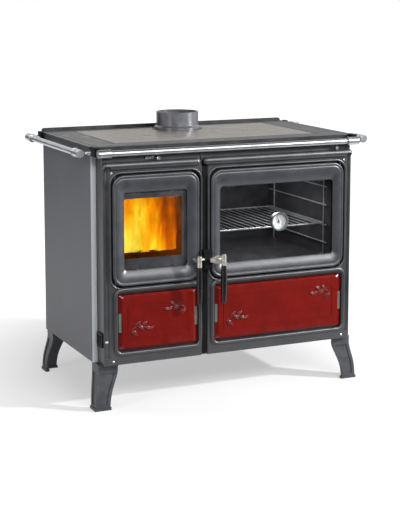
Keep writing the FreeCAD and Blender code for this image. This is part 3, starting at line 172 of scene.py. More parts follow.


# folded sheet under a satin baked paint: even grey, soft wide highlights, and a pale highlight
# painted along the front fold
sheetPaint = grainedFinish("satinSheetPaintFoldHighlight", {
    "colours": ("#66676d", "#6d6e74"), "roughness": (0.42, 0.48), "mottleMm": 160,
    "grainMm": 6.0, "strength": 0.02, "shader": {"Specular IOR Level": 0.25},
    "paintedFoldHighlight": ("#bcbfc4", -0.1905, -0.1885)})
# sand-cast iron under charcoal stove paint: a raised grain that breaks the highlights
castPaint = grainedFinish("castIronStovePaint", {
    "colours": ("#1b1c20", "#232428"), "roughness": (0.34, 0.42), "mottleMm": 45,
    "grainMm": 5.0, "strength": 0.1, "detail": 3.0, "shader": {"Specular IOR Level": 0.9}})
# the doors take the same paint as the castings, painted greyer as a lit copy of it, so that they
# stand off them
litDoorPaint = grainedFinish("castDoorPaintLitCopy", {
    "colours": ("#2b2c31", "#333439"), "roughness": (0.34, 0.42), "mottleMm": 35,
    "grainMm": 5.0, "strength": 0.1, "detail": 3.0, "shader": {"Specular IOR Level": 0.7}})
# blacked iron in the gaps: nearly black, and dull from every side
keeperIron = grainedFinish("blackedIron", {
    "colours": ("#070708", "#0d0d0f"), "roughness": (0.42, 0.55), "mottleMm": 30,
    "grainMm": 1.2, "strength": 0.25, "shader": {"Specular IOR Level": 0.12}})
# cast legs in charcoal paint: a rougher skin than the doors, with small sparkles
legPaint = grainedFinish("castLegPaint", {
    "colours": ("#2c2d31", "#36373b"), "roughness": (0.34, 0.46), "mottleMm": 30,
    "grainMm": 1.5, "strength": 0.3})
# ground and oiled hob iron: warmer and lighter than the frame, with a broad soft sheen
hobIron = grainedFinish("groundHobIron", {
    "colours": ("#7a756e", "#918b83"), "roughness": (0.3, 0.46), "mottleMm": 60,
    "grainMm": 2.0, "strength": 0.12, "ringed": True, "shader": {"Metallic": 0.55}})
# blacked cast iron of the top frame: dark, with a slight metal sheen
topIron = grainedFinish("blackedTopIron", {
    "colours": ("#232426", "#2e2f31"), "roughness": (0.32, 0.46), "mottleMm": 50,
    "grainMm": 1.6, "strength": 0.22, "shader": {"Metallic": 0.25}})
# smooth-cast collar: mid grey, glossier than the frame round it
collarIron = grainedFinish("collarIron", {
    "colours": ("#606166", "#6e6f74"), "roughness": (0.26, 0.34), "mottleMm": 30,
    "grainMm": 1.4, "strength": 0.12, "shader": {"Metallic": 0.5}})
# galvanised sheet: small cloudy spangles in tone and gloss
sheetSteel = grainedFinish("galvanisedSheet", {
    "colours": ("#7d7f82", "#939598"), "roughness": (0.35, 0.5), "mottleMm": 14,
    "grainMm": 3.0, "strength": 0.05, "shader": {"Metallic": 0.8}})
# vitreous enamel in the oven: dark grey with a soft gloss
ovenSteel = grainedFinish("ovenLinerEnamel", {
    "colours": ("#303033", "#3e3e41"), "roughness": (0.34, 0.46), "mottleMm": 40,
    "grainMm": 1.5, "strength": 0.08})
# turned steel of knobs and screws: bright, with fine tool marks
plainSteel = grainedFinish("turnedSteel", {
    "colours": ("#a9aaac", "#bcbdbf"), "roughness": (0.22, 0.34), "mottleMm": 6,
    "grainMm": 0.6, "strength": 0.08, "shader": {"Metallic": 1.0}})
# satin nickel on the levers: pale and soft, so that it stays bright from every side
satinNickel = grainedFinish("satinNickel", {
    "colours": ("#cfccc4", "#e0ddd6"), "roughness": (0.24, 0.34), "mottleMm": 8,
    "grainMm": 0.6, "strength": 0.05, "shader": {"Metallic": 0.85}})
# dull plate on the oven's wires: pale grey without sharp reflections
wirePlate = grainedFinish("dullWirePlate", {
    "colours": ("#b9bbbe", "#d2d4d6"), "roughness": (0.3, 0.42), "mottleMm": 10,
    "grainMm": 0.6, "strength": 0.05, "shader": {"Metallic": 0.7}})
# turned steel of the thermometer's case: a little darker, with a satin rim
caseSteel = grainedFinish("turnedCaseSteel", {
    "colours": ("#97989b", "#acadb0"), "roughness": (0.26, 0.36), "mottleMm": 6,
    "grainMm": 0.6, "strength": 0.06, "shader": {"Metallic": 1.0}})
# nickel-chrome plate on tube: bright bands, softened, with faint wipe marks in the gloss
chromePlate = grainedFinish("chromePlate", {
    "colours": ("#abadb0", "#bcbec1"), "roughness": (0.32, 0.38), "mottleMm": 25,
    "grainMm": 0.8, "strength": 0.01, "shader": {"Metallic": 1.0}})
# painted spring steel of the tile clips: a dull grey green
clipPaint = grainedFinish("clipPaint", {
    "colours": ("#434f45", "#505d51"), "roughness": (0.35, 0.5), "mottleMm": 12,
    "grainMm": 0.8, "strength": 0.1})
# pressed fireclay: chalky and brown, coarse enough to show its grain
fireclay = grainedFinish("pressedFireclay", {
    "colours": ("#74491f", "#8d5f2b"), "roughness": (0.85, 0.95), "mottleMm": 30,
    "grainMm": 3.0, "strength": 0.5, "detail": 6.0})
# glass-fibre rope: matt and dark, with a woven roughness
sealRope = grainedFinish("glassFibreRope", {
    "colours": ("#2c2c2d", "#4a4a4b"), "roughness": (0.85, 0.95), "mottleMm": 3,
    "grainMm": 1.2, "strength": 0.8})
# printed dial: an even off-white with little gloss
dialPaper = grainedFinish("printedDial", {
    "colours": ("#dcdfdf", "#e3e6e6"), "roughness": (0.4, 0.5), "mottleMm": 8,
    "grainMm": 0.4, "strength": 0.03})
# black paint of the needle and the dial's marks
needlePaint = grainedFinish("blackNeedlePaint", {
    "colours": ("#101012", "#18181a"), "roughness": (0.35, 0.45), "mottleMm": 4,
    "grainMm": 0.4, "strength": 0.04})
# the tile's red glaze on the sprigs, painted darker than the tile as shade on their relief, and
# softer in gloss
shadedSprigGlaze = grainedFinish("sprigGlazePaintedShade", {
    "colours": ("#4a0a08", "#600f0c"), "roughness": (0.24, 0.34), "mottleMm": 9,
    "grainMm": 3.0, "strength": 0.05, "shader": {"Specular IOR Level": 0.3}})
# enamel fired on the back of the fire door's glass: flat dark grey behind the gloss of the pane
firedBorder = grainedFinish("firedEnamelBorder", {
    "colours": ("#56575d", "#5f6066"), "roughness": (0.3, 0.4), "mottleMm": 20,
    "grainMm": 0.6, "strength": 0.04})
print("plain finishes made")

tileLook = {"slowMm": 70, "slow": ("#5a0c08", "#640f0a"), "fineMm": 14, "fine": "#821b12",
            "fineShare": 0.08, "rippleMm": 28, "strength": 0.06, "height": 0.002,
            "roughness": (0.09, 0.16), "specular": 0.4}


def glazedTile():
    # tin-red glaze over a pressed tile: a wet gloss that ripples, with brighter red flecks
    material, tree, shader, place = startMaterial("redTileGlaze")
    slow = addNode(tree, "ShaderNodeTexNoise", lumps(tileLook["slowMm"]), {"Vector": place})
    slow = addNode(tree, "ShaderNodeMapRange", stretch(*wideSpan), {"Value": slow})
    body = addNode(tree, "ShaderNodeMix", tones(*tileLook["slow"]), {0: slow}).outputs[2]
    fine = addNode(tree, "ShaderNodeTexNoise", lumps(tileLook["fineMm"]), {"Vector": place})
    fine = addNode(tree, "ShaderNodeMapRange", stretch(*middleSpan, 0.0, tileLook["fineShare"]),
                   {"Value": fine})
    base = addNode(tree, "ShaderNodeMix", tones(second=tileLook["fine"]),
                   {0: fine, 6: body}).outputs[2]
    ripple = addNode(tree, "ShaderNodeTexNoise", lumps(tileLook["rippleMm"], detail=1.0),
                     {"Vector": place})
    bump = addNode(tree, "ShaderNodeBump", {
        "Strength": tileLook["strength"], "Distance": tileLook["height"]}, {"Height": ripple})
    gloss = addNode(tree, "ShaderNodeMapRange", stretch(*wideSpan, *tileLook["roughness"]),
                    {"Value": ripple})
    shader.inputs["Specular IOR Level"].default_value = tileLook["specular"]
    linkUp(tree, shader, {"Base Color": base, "Roughness": gloss, "Normal": bump})
    return material


gripLook = {"ribMm": 4.8, "strength": 0.35, "height": 0.0006, "mottleMm": 10,
            "colours": ("#0b0b0c", "#141416"), "roughness": (0.12, 0.22)}


def ribbedPhenolic():
    # pressed phenolic grip: deep black gloss, ribbed by a wave of 20 x scale radians a metre
    material, tree, shader, place = startMaterial("ribbedPhenolic")
    wave = addNode(tree, "ShaderNodeTexWave", {
        "wave_type": "BANDS", "bands_direction": "Z",
        "Scale": 2 * math.pi * 1000.0 / gripLook["ribMm"] / 20.0}, {"Vector": place})
    bump = addNode(tree, "ShaderNodeBump", {
        "Strength": gripLook["strength"], "Distance": gripLook["height"]},
        {"Height": wave.outputs["Fac"]})
    tone = addNode(tree, "ShaderNodeTexNoise", lumps(gripLook["mottleMm"]), {"Vector": place})
    tone = addNode(tree, "ShaderNodeMapRange", stretch(*middleSpan), {"Value": tone})
    base = addNode(tree, "ShaderNodeMix", tones(*gripLook["colours"]), {0: tone}).outputs[2]
    gloss = addNode(tree, "ShaderNodeMapRange", stretch(0.0, 1.0, *gripLook["roughness"]),
                    {"Value": tone})
    linkUp(tree, shader, {"Base Color": base, "Roughness": gloss, "Normal": bump})
    return material


def paneGlass(name, look):
    # a flat pane: a straight view through a slight tint, and a reflection that grows as facing^5
    material, tree, shader, place = startMaterial(name)
    shader.inputs["Base Color"].default_value = toLinear(look["gloss"])
    shader.inputs["Roughness"].default_value = look["roughness"]
    smear = addNode(tree, "ShaderNodeTexNoise", lumps(look["smearMm"]), {"Vector": place})
    smear = addNode(tree, "ShaderNodeMapRange", stretch(*wideSpan, *look["tint"]),
                    {"Value": smear})
    tint = addNode(tree, "ShaderNodeMix", tones("#000000", "#ffffff"), {0: smear}).outputs[2]
    view = addNode(tree, "ShaderNodeBsdfTransparent", {}, {"Color": tint})
    facing = addNode(tree, "ShaderNodeLayerWeight", {"Blend": 0.5}).outputs["Facing"]
    steep = addNode(tree, "ShaderNodeMath", {"operation": "POWER", 1: 5.0}, {0: facing})
    angle = addNode(tree, "ShaderNodeMapRange", stretch(0.0, 1.0, look["headOn"], 1.0),
                    {"Value": steep})
    both = addNode(tree, "ShaderNodeMixShader", {}, {0: angle, 1: view, 2: shader})
    linkUp(tree, tree.nodes["Material Output"], {"Surface": both})
    return material


tileGlaze = glazedTile()
gripPhenolic = ribbedPhenolic()
# glass-ceramic of the doors: lightly smoked, with a clean reflection
doorGlass = paneGlass("ceramicDoorGlass", {
    "gloss": "#0a0a0a", "roughness": 0.03, "smearMm": 60, "tint": (0.72, 0.84), "headOn": 0.035})
# thin clear glass over the dial: hardly any tint
lensGlass = paneGlass("lensGlass", {
    "gloss": "#0a0a0a", "roughness": 0.03, "smearMm": 60, "tint": (0.93, 0.98), "headOn": 0.03})
print("glazes and glass made")

# the finish of every CAD node
finishOf = {
    "side_panel_left": sheetPaint, "side_panel_right": sheetPaint, "base_panel": sheetSteel,
    "back_panel": sheetSteel, "front_casting_left": castPaint, "front_casting_right": castPaint,
    "door_keeper": keeperIron, "casting_screws": plainSteel, "air_inlet_plate": keeperIron,
    "top_frame": topIron, "hob_plate": hobIron, "flue_collar": collarIron,
    "leg_front_left": legPaint, "leg_front_right": legPaint, "leg_rear_left": legPaint,
    "leg_rear_right": legPaint, "front_rail": chromePlate, "left_rail": chromePlate,
    "right_rail": chromePlate, "rail_sleeves": chromePlate, "rail_brackets": keeperIron,
    "firebox_casing": keeperIron, "firebrick_lining": fireclay, "fire_grate": topIron,
    "oven_liner": ovenSteel, "rack_guides": wirePlate, "drawer_runners": sheetSteel,
    "fire_door_frame": litDoorPaint, "fire_door_glass": doorGlass, "fire_door_seal": sealRope,
    "fire_glass_clips": plainSteel, "oven_door_frame": litDoorPaint, "oven_door_glass": doorGlass,
    "oven_door_seal": sealRope, "oven_glass_clips": plainSteel, "thermometer_case": caseSteel,
    "thermometer_dial": dialPaper, "thermometer_lens": lensGlass,
    "thermometer_needle": needlePaint, "fire_handle_lever": satinNickel,
    "fire_handle_grip": gripPhenolic, "oven_handle_lever": satinNickel,
    "oven_handle_grip": gripPhenolic, "ash_drawer_box": sheetSteel, "ash_drawer_tile": tileGlaze,
    "ash_tile_clips": clipPaint, "wood_drawer_box": sheetSteel, "wood_drawer_tile": tileGlaze,
    "wood_tile_clips": clipPaint, "oven_rack": wirePlate, "left_outer_ring": hobIron,
    "left_inner_ring": hobIron, "left_ring_lid": hobIron, "right_outer_ring": hobIron,
    "right_inner_ring": hobIron, "right_ring_lid": hobIron, "secondary_air_knob": plainSteel,
    "damper_rod": plainSteel, "primary_air_knob": plainSteel}
for nodeName, finish in finishOf.items():
    materials = nodes[nodeName].data.materials
    for index in range(len(materials)):
        materials[index] = finish
    if not len(materials):
        materials.append(finish)
print("finishes on", len(finishOf), "nodes")


def gridFaces(rows, columns, offset=0, wrap=False):
    # quads of a grid of rows x columns points; wrap closes the columns into a tube
    span = columns if wrap else columns - 1
    r, c = np.meshgrid(np.arange(rows - 1), np.arange(span), indexing="ij")
    a = r * columns + c
    b = r * columns + (c + 1) % columns
    return np.stack([a, b, b + columns, a + columns], -1).reshape(-1, 4) + offset


def makePiece(name, points, faces, body, finish, smooth=True):
    # a piece of its own at the origin, with its place in its mesh
    mesh = bpy.data.meshes.new(name)
    mesh.from_pydata(points.tolist(), [], faces.tolist())
    mesh.materials.append(finish)
    mesh.polygons.foreach_set("use_smooth", [smooth] * len(mesh.polygons))
    mesh.update()
    piece = bpy.data.objects.new(name, mesh)
    bpy.context.collection.objects.link(piece)
    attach(piece, body)
    return piece


# generic leaf sprigs in raised glaze, low at the left and high at the right of each tile (metres)
sprigs = {"leafLength": 0.031, "leafWidth": 0.016, "lengthTaper": 0.25, "widthTaper": 0.2,
          "outline": (0.85, 0.8), "relief": 0.0048, "vault": (0.5, 0.4),
          "midrib": (0.35, 0.18), "sunk": 0.0002, "faceBack": 0.0013,
          "leaves": 6, "tilts": (-0.75, 0.9), "closing": 0.6, "inset": 0.072, "drop": 0.060,
          "rise": 0.064, "reach": 0.058, "arch": 0.014, "around": 14, "along": 16,
          "stem": 0.0028, "stemAlong": 24, "stemRound": 8}


def leafSurface(base, angle, length, width, face):
    # t runs from root to tip and s from side to side; half width is sin(pi t^0.85)^0.8, and the
    # height is a vault, sqrt(1 - s^2) sin(pi t)^0.4, with a bell-shaped groove for the midrib
    t, s = np.meshgrid(np.linspace(0, 1, sprigs["along"]), np.linspace(-1, 1, sprigs["around"]),
                       indexing="ij")
    forward, fullness = sprigs["outline"]
    roundness, ends = sprigs["vault"]
    depth, breadth = sprigs["midrib"]
    half = width / 2 * np.sin(np.pi * t ** forward) ** fullness
    vault = sprigs["relief"] * (1 - s ** 2) ** roundness * np.sin(np.pi * t) ** ends
    height = vault * (1 - depth * np.exp(-(s / breadth) ** 2))
    lx, lz = t * length, s * half
    x = base[0] + lx * math.cos(angle) - lz * math.sin(angle)
    z = base[1] + lx * math.sin(angle) + lz * math.cos(angle)
    return np.stack([x, face - height + sprigs["sunk"], z], -1).reshape(-1, 3)


def sprigOn(tileNode, body, name):
    # leaves set to either side along a stem, which is a round tube on the arch sin(pi share)
    low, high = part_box(tileNode)
    face = low[1] + sprigs["faceBack"]
    points, faces = [], []
    count = 0
    for side, cornerX, top in ((-1, low[0] + sprigs["inset"], low[2] + sprigs["rise"]),
                               (1, high[0] - sprigs["inset"], high[2] - sprigs["drop"])):
        for number in range(sprigs["leaves"]):
            share = number / (sprigs["leaves"] - 1)
            x = cornerX - side * (share - 0.5) * sprigs["reach"]
            z = top + sprigs["arch"] * math.sin(share * math.pi)
            tilt = sprigs["tilts"][number % 2] * -side * (1 - sprigs["closing"] * share)
            leaf = leafSurface((x, z), (0 if side < 0 else math.pi) + tilt,
                               sprigs["leafLength"] * (1 - sprigs["lengthTaper"] * share),
                               sprigs["leafWidth"] * (1 - sprigs["widthTaper"] * share), face)
            points.append(leaf)
            faces.append(gridFaces(sprigs["along"], sprigs["around"], count)[:, ::-1])
            count += len(leaf)
        along, around = sprigs["stemAlong"], sprigs["stemRound"]
        share = np.linspace(0, 1, along)
        path = np.stack([cornerX - side * (share - 0.5) * sprigs["reach"], np.full(along, face),
                         top + sprigs["arch"] * np.sin(share * np.pi)], -1)
        turn = np.linspace(0, 2 * np.pi, around, endpoint=False)
        ring = np.stack([np.zeros(around), np.cos(turn), np.sin(turn)], -1) * sprigs["stem"]
        points.append((path[:, None, :] + ring[None, :, :]).reshape(-1, 3))
        faces.append(gridFaces(along, around, count, True))
        count += along * around
    makePiece(name, np.concatenate(points), np.concatenate(faces), body, shadedSprigGlaze)


sprigOn("ash_drawer_tile", "ash_drawer", "ashTileSprigs")
sprigOn("wood_drawer_tile", "wood_drawer", "woodTileSprigs")
print("tile sprigs made")

# printed marks round the thermometer's dial (metres, degrees); ahead is measured from its back
dialMarks = {"outer": 0.0245, "long": 0.0045, "short": 0.0025, "longEvery": 5, "width": 0.0007,
             "count": 31, "sweep": 270.0, "ahead": 0.00105}


def marksOnDial():
    # flat bars from the outer radius inwards, at even angles over the sweep
    low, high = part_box("thermometer_dial")
    face = high[1] - dialMarks["ahead"]
    sweep, count = dialMarks["sweep"], dialMarks["count"]
    angles = np.radians(np.linspace(-sweep / 2, sweep / 2, count))
    length = np.where(np.arange(count) % dialMarks["longEvery"] == 0, dialMarks["long"],
                      dialMarks["short"])
    radial = np.stack([np.sin(angles), np.zeros(count), np.cos(angles)], -1)
    across = np.stack([np.cos(angles), np.zeros(count), -np.sin(angles)], -1)
    across *= dialMarks["width"] / 2
    outer = radial * dialMarks["outer"]
    inner = radial * (dialMarks["outer"] - length)[:, None]
    corners = np.stack([outer - across, outer + across, inner + across, inner - across], 1)
    points = corners.reshape(-1, 3) + np.array([(low[0] + high[0]) / 2, face,
                                                (low[2] + high[2]) / 2])
    faces = np.arange(len(points)).reshape(-1, 4)
    makePiece("dialMarks", points, faces, "oven_door", needlePaint, False)


marksOnDial()
print("dial marks made")

# the fire that shows through the fire door's glass (metres); it only lights the scene
fire = {"tongues": 84, "across": 9, "up": 30, "seed": 7,
        "low": 0.492, "left": -0.400, "right": -0.118, "margin": 0.03, "front": -0.175,
        "back": 0.120, "crowd": 0.8, "height": (0.22, 0.36), "lean": 0.45, "width": (0.06, 0.12),
        "taper": 0.6, "waist": (0.75, 0.35), "waves": 5, "sway": 0.016, "bends": 6,
        "phases": 6.28, "bow": 0.35, "swayBack": 0.5,
        "streak": {"Scale": (1.0, 1.0, 0.25), "Rotation": (0, 0.25, 0)}, "wispMm": 22,
        "lickMm": 55, "sideHeat": 0.62, "riseHeat": 0.4, "lickHeat": (-0.16, 0.2),
        "edgeSpan": (0.02, 0.32), "fadeSpan": (0.45, 1.0), "tornSpan": (0.38, 0.58),
        "tornLeast": 0.25, "strength": 1.9,
        "stops": ((0.0, "#fff27a"), (0.24, "#ffdc30"), (0.46, "#fba30a"), (0.68, "#cf6008"),
                  (0.95, "#5e2a0a"))}


def flameFinish():
    # pale yellow at the root and the left, deep orange at the tips and the right; the cover
    # thins towards the edges and the tip, and is torn by tall wisps
    material, tree, _, place = startMaterial("woodFlame")
    along = addNode(tree, "ShaderNodeUVMap")
    parts = addNode(tree, "ShaderNodeSeparateXYZ", {}, {0: along})
    streak = addNode(tree, "ShaderNodeMapping", fire["streak"], {"Vector": place})
    licks = addNode(tree, "ShaderNodeTexNoise", lumps(fire["lickMm"]), {"Vector": streak})
    licks = addNode(tree, "ShaderNodeMapRange", stretch(*middleSpan, *fire["lickHeat"]),
                    {"Value": licks})
    aside = addNode(tree, "ShaderNodeSeparateXYZ", {}, {0: place})
    aside = addNode(tree, "ShaderNodeMapRange",
                    stretch(fire["left"], fire["right"], 0.0, fire["sideHeat"]), {"Value": aside})
    rise = addNode(tree, "ShaderNodeMapRange", stretch(0.0, 1.0, 0.0, fire["riseHeat"]),
                   {"Value": parts.outputs["Y"]})
    heat = addNode(tree, "ShaderNodeMath", {"operation": "ADD"}, {0: aside, 1: rise})
    heat = addNode(tree, "ShaderNodeMath", {"operation": "ADD"}, {0: heat, 1: licks})
    ramp = addNode(tree, "ShaderNodeValToRGB", {}, {"Fac": heat})
    elements = ramp.color_ramp.elements
    while len(elements) < len(fire["stops"]):
        elements.new(0.5)
    for element, (at, tone) in zip(elements, fire["stops"]):
        element.position = at
        element.color = toLinear(tone)
    edge = addNode(tree, "ShaderNodeMath", {"operation": "PINGPONG", 1: 0.5},
                   {0: parts.outputs["X"]})
    edge = addNode(tree, "ShaderNodeMapRange", stretch(*fire["edgeSpan"]), {"Value": edge})
    fade = addNode(tree, "ShaderNodeMapRange", stretch(*fire["fadeSpan"], 1.0, 0.0),
                   {"Value": parts.outputs["Y"]})
    torn = addNode(tree, "ShaderNodeTexNoise", lumps(fire["wispMm"], detail=3.0),
                   {"Vector": streak})
    torn = addNode(tree, "ShaderNodeMapRange", stretch(*fire["tornSpan"], fire["tornLeast"], 1.0),
                   {"Value": torn})
    cover = addNode(tree, "ShaderNodeMath", {"operation": "MULTIPLY"}, {0: edge, 1: fade})
    cover = addNode(tree, "ShaderNodeMath", {"operation": "MULTIPLY"}, {0: cover, 1: torn})
    glow = addNode(tree, "ShaderNodeEmission", {"Strength": fire["strength"]}, {"Color": ramp})
    clear = addNode(tree, "ShaderNodeBsdfTransparent")
    both = addNode(tree, "ShaderNodeMixShader", {}, {0: cover, 1: clear, 2: glow})
    linkUp(tree, tree.nodes["Material Output"], {"Surface": both})
    return material


def makeFlames():
    # a tongue is a bowed strip, u across and v up: its half width is (1 - v)^taper with a slow
    # wave, and its middle sways more as it rises; to the right, tongues are lower and in front
    seed = np.random.default_rng(fire["seed"])
    u, v = np.meshgrid(np.linspace(-1, 1, fire["across"]), np.linspace(0, 1, fire["up"]),
                       indexing="xy")
    breadth = fire["right"] - fire["left"] - 2 * fire["margin"]
    slim, wave = fire["waist"]
    points, faces, uvs = [], [], []
    for number in range(fire["tongues"]):
        share = seed.uniform(0, 1)
        height = seed.uniform(*fire["height"]) * (1 - fire["lean"] * share ** 2)
        width = seed.uniform(*fire["width"])
        deep = seed.uniform(0, 1) * (1 - fire["crowd"] * share)
        phase = seed.uniform(0, fire["phases"])
        half = width / 2 * (1 - v) ** fire["taper"]
        half = half * (slim + wave * np.sin(v * fire["waves"] + phase))
        sway = fire["sway"] * v * np.sin(v * fire["bends"] + phase)
        x = fire["left"] + fire["margin"] + breadth * share + u * half + sway
        y = fire["front"] + (fire["back"] - fire["front"]) * deep
        y = y + fire["bow"] * half * (1 - u ** 2) + fire["swayBack"] * sway
        z = fire["low"] + v * height
        points.append(np.stack([x, y, z], -1).reshape(-1, 3))
        faces.append(gridFaces(fire["up"], fire["across"], number * u.size))
        uvs.append(np.stack([(u + 1) / 2, v], -1).reshape(-1, 2))
    piece = makePiece("flames", np.concatenate(points), np.concatenate(faces), "body",
                      flameFinish())
    layer = piece.data.uv_layers.new(name="along")
    corner = np.empty(len(piece.data.loops), dtype=np.int64)
    piece.data.loops.foreach_get("vertex_index", corner)
    layer.data.foreach_set("uv", np.concatenate(uvs)[corner].ravel())


makeFlames()
print("flames made")

# dark fired border on the back of the fire door's pane (metres): margins left, right, low, high
paneBorder = {"margins": (0.002, 0.017, 0.036, 0.021), "behind": 0.0004, "thick": 0.0006,
              "corner": 0.008, "lap": 0.005, "steps": 8}


def roundedLoop(x0, x1, z0, z1, radius, steps):
    # four quarter arcs, counter-clockwise from the lower right corner, seen from the front
    arc = np.linspace(0, np.pi / 2, steps)
    corners = ((x1 - radius, z0 + radius, -np.pi / 2), (x1 - radius, z1 - radius, 0.0),
               (x0 + radius, z1 - radius, np.pi / 2), (x0 + radius, z0 + radius, np.pi))
    return np.concatenate([np.stack([x + radius * np.cos(arc + turn),
                                     z + radius * np.sin(arc + turn)], -1)
                           for x, z, turn in corners])


def makePaneBorder():
    # a flat ring between two rounded outlines: four rows of points round its section
    low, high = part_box("fire_door_glass")
    left, right, below, above = paneBorder["margins"]
    lap, corner, steps = paneBorder["lap"], paneBorder["corner"], paneBorder["steps"]
    outer = roundedLoop(low[0], high[0], low[2], high[2], corner, steps)
    inner = roundedLoop(low[0] + lap + left, high[0] - lap - right, low[2] + lap + below,
                        high[2] - lap - above, corner, steps)
    front = high[1] + paneBorder["behind"]
    back = front + paneBorder["thick"]
    count = len(outer)
    points = np.concatenate([
        np.stack([loop[:, 0], np.full(count, y), loop[:, 1]], -1)
        for loop, y in ((outer, front), (inner, front), (inner, back), (outer, back))])
    last = np.arange(count)
    following = (last + 1) % count
    close = np.stack([last + 3 * count, following + 3 * count, following, last], -1)
    faces = np.concatenate([gridFaces(4, count, 0, True), close])
    makePiece("fireGlassBorder", points, faces, "fire_door", firedBorder, False)


makePaneBorder()
print("pane border made")

doorLow, doorHigh = 0.406, 0.766  # both doors' lower and upper edge, without their pins (metres)

# pillowed frame of each cast door between its rolled rim and the window (metres)
doorSwell = {"inset": 0.0085, "doorCorner": 0.040, "lap": 0.005, "windowCorner": 0.011,
             "cover": 0.0004, "crest": 0.0134, "floor": 0.0016, "shoulder": 0.0028,
             "shoulderShare": 0.12, "fall": 1.9, "spacing": 1.3, "lip": 0.0001, "tuck": 0.0003,
             "rows": 18, "steps": 14}


def swellDoor(doorNode, glassNode, body, name):
    # between two rounded outlines: up a small shoulder, back as share^fall, then over the lip
    # and in until it is tucked before the glass
    low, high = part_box(doorNode)
    paneLow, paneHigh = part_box(glassNode)
    steps, inset, bend = doorSwell["steps"], doorSwell["inset"], doorSwell["shoulderShare"]
    outer = roundedLoop(low[0] + inset, high[0] - inset, doorLow + inset, doorHigh - inset,
                        doorSwell["doorCorner"] - inset, steps)
    lap = doorSwell["lap"] + doorSwell["cover"]
    inner = roundedLoop(paneLow[0] + lap, paneHigh[0] - lap, paneLow[2] + lap, paneHigh[2] - lap,
                        doorSwell["windowCorner"], steps)
    crest = paneLow[1] - doorSwell["crest"]
    floor = paneLow[1] - doorSwell["floor"]
    share = np.linspace(0, 1, doorSwell["rows"]) ** doorSwell["spacing"]
    rising = np.clip(1 - share / bend, 0, 1) ** 2
    falling = np.clip((share - bend) / (1 - bend), 0, 1)
    depth = crest + doorSwell["shoulder"] * rising + (floor - crest) * falling ** doorSwell["fall"]
    share = np.append(share, [1.0, 1.0])
    depth = np.append(depth, [floor + doorSwell["lip"], paneLow[1] - doorSwell["tuck"]])
    flat = outer[None] * (1 - share)[:, None, None] + inner[None] * share[:, None, None]
    points = np.stack([flat[..., 0], np.broadcast_to(depth[:, None], flat.shape[:2]),
                       flat[..., 1]], -1)
    makePiece(name, points.reshape(-1, 3), gridFaces(len(share), len(outer), 0, True), body,
              litDoorPaint)


swellDoor("fire_door_frame", "fire_door_glass", "fire_door", "fireDoorSwell")
swellDoor("oven_door_frame", "oven_door_glass", "oven_door", "ovenDoorSwell")
print("door frames pillowed")

# half-round beads on the castings round both door openings (metres); the castings' face lies
# faceBack behind their rolls
doorBead = {"radius": 0.0034, "gap": 0.0052, "bite": 0.0004, "corner": 0.0375,
            "faceBack": 0.013, "around": 14, "steps": 14}


def beadRound(doorNode, name):
    # a round tube along a rounded rectangle outside the door; its back half is sunk in the casting
    low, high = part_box(doorNode)
    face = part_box("front_casting_left")[0][1] + doorBead["faceBack"]
    radius = doorBead["radius"]
    reach = doorBead["gap"] + radius - doorBead["bite"]
    loop = roundedLoop(low[0] - reach, high[0] + reach, doorLow - reach, doorHigh + reach,
                       doorBead["corner"], doorBead["steps"])
    ahead = np.roll(loop, -1, 0) - np.roll(loop, 1, 0)
    ahead /= np.linalg.norm(ahead, axis=1)[:, None]
    out = np.stack([ahead[:, 1], -ahead[:, 0]], -1)
    turn = np.linspace(0, 2 * np.pi, doorBead["around"], endpoint=False)
    swell = radius * np.cos(turn)[None, :, None] * out[:, None, :]
    points = np.empty((len(loop), len(turn), 3))
    points[:, :, 0] = loop[:, None, 0] + swell[:, :, 0]
    points[:, :, 1] = face - radius * np.sin(turn)[None, :]
    points[:, :, 2] = loop[:, None, 1] + swell[:, :, 1]
    points = np.concatenate([points, points[:1]]).reshape(-1, 3)
    faces = gridFaces(len(loop) + 1, len(turn), 0, True)
    makePiece(name, points, faces, "body", castPaint)


beadRound("fire_door_frame", "fireDoorBead")
beadRound("oven_door_frame", "ovenDoorBead")
print("door beads made")

# studio (metres and watts); a lamp is its name, place, target, size and power. Cards are dark and
# stand in front, above and behind, seen only in reflections, as a photographer sets them for chrome
studio = {"floorHalf": 60.0, "floorTones": ("#a2a2a2", "#aaaaaa"), "floorMm": 900,
          "floorRoughness": 0.9, "floorSpecular": 0.2, "floorGlow": (0.46, 1.0),
          "glowFrom": 0.45, "glowTo": 1.45, "world": 0.15,
          "cardTones": ("#1c1c1d", "#262627"), "cardMm": 400, "cardRoughness": 0.95,
          "lamps": (("leftStrip", (-3.8, -1.7, 2.3), (0, 0, 0.7), (0.45, 2.6), 44.0),
                    ("topBox", (0.0, -3.7, 2.5), (0, 0, 0.6), (3.2, 0.9), 125.0),
                    ("rightSpot", (3.4, -2.6, 2.45), (0, -0.25, 0.45), (0.28, 0.28), 320.0),
                    ("ovenLamp", (0.17, -0.10, 0.722), (0.17, -0.02, 0.45), (0.20, 0.10), 2.2),
                    ("fireLamp", (-0.27, -0.15, 0.70), (-0.27, 0.05, 0.50), (0.16, 0.10), 0.3)),
          "cards": (((-4, -4.6, 0.004), (5, -4.6, 0.004), (5, -0.85, 0.004), (-4, -0.85, 0.004)),
                    ((-4, -6, 0), (6, -6, 0), (6, -6, 2.4), (-4, -6, 2.4)),
                    ((-3, -2.7, 4.3), (3, -2.7, 4.3), (3, 2.6, 4.3), (-3, 2.6, 4.3)),
                    ((-6, 4, 0), (-1.1, 4, 0), (-1.1, 4, 1.5), (-6, 4, 1.5)),
                    ((1.1, 4, 0), (6, 4, 0), (6, 4, 1.5), (1.1, 4, 1.5)))}


def flatSheet(name, corners, material):
    # one quad with its place in its mesh
    mesh = bpy.data.meshes.new(name)
    mesh.from_pydata(list(corners), [], [(0, 1, 2, 3)])
    mesh.materials.append(material)
    sheet = bpy.data.objects.new(name, mesh)
    bpy.context.collection.objects.link(sheet)
    return sheet


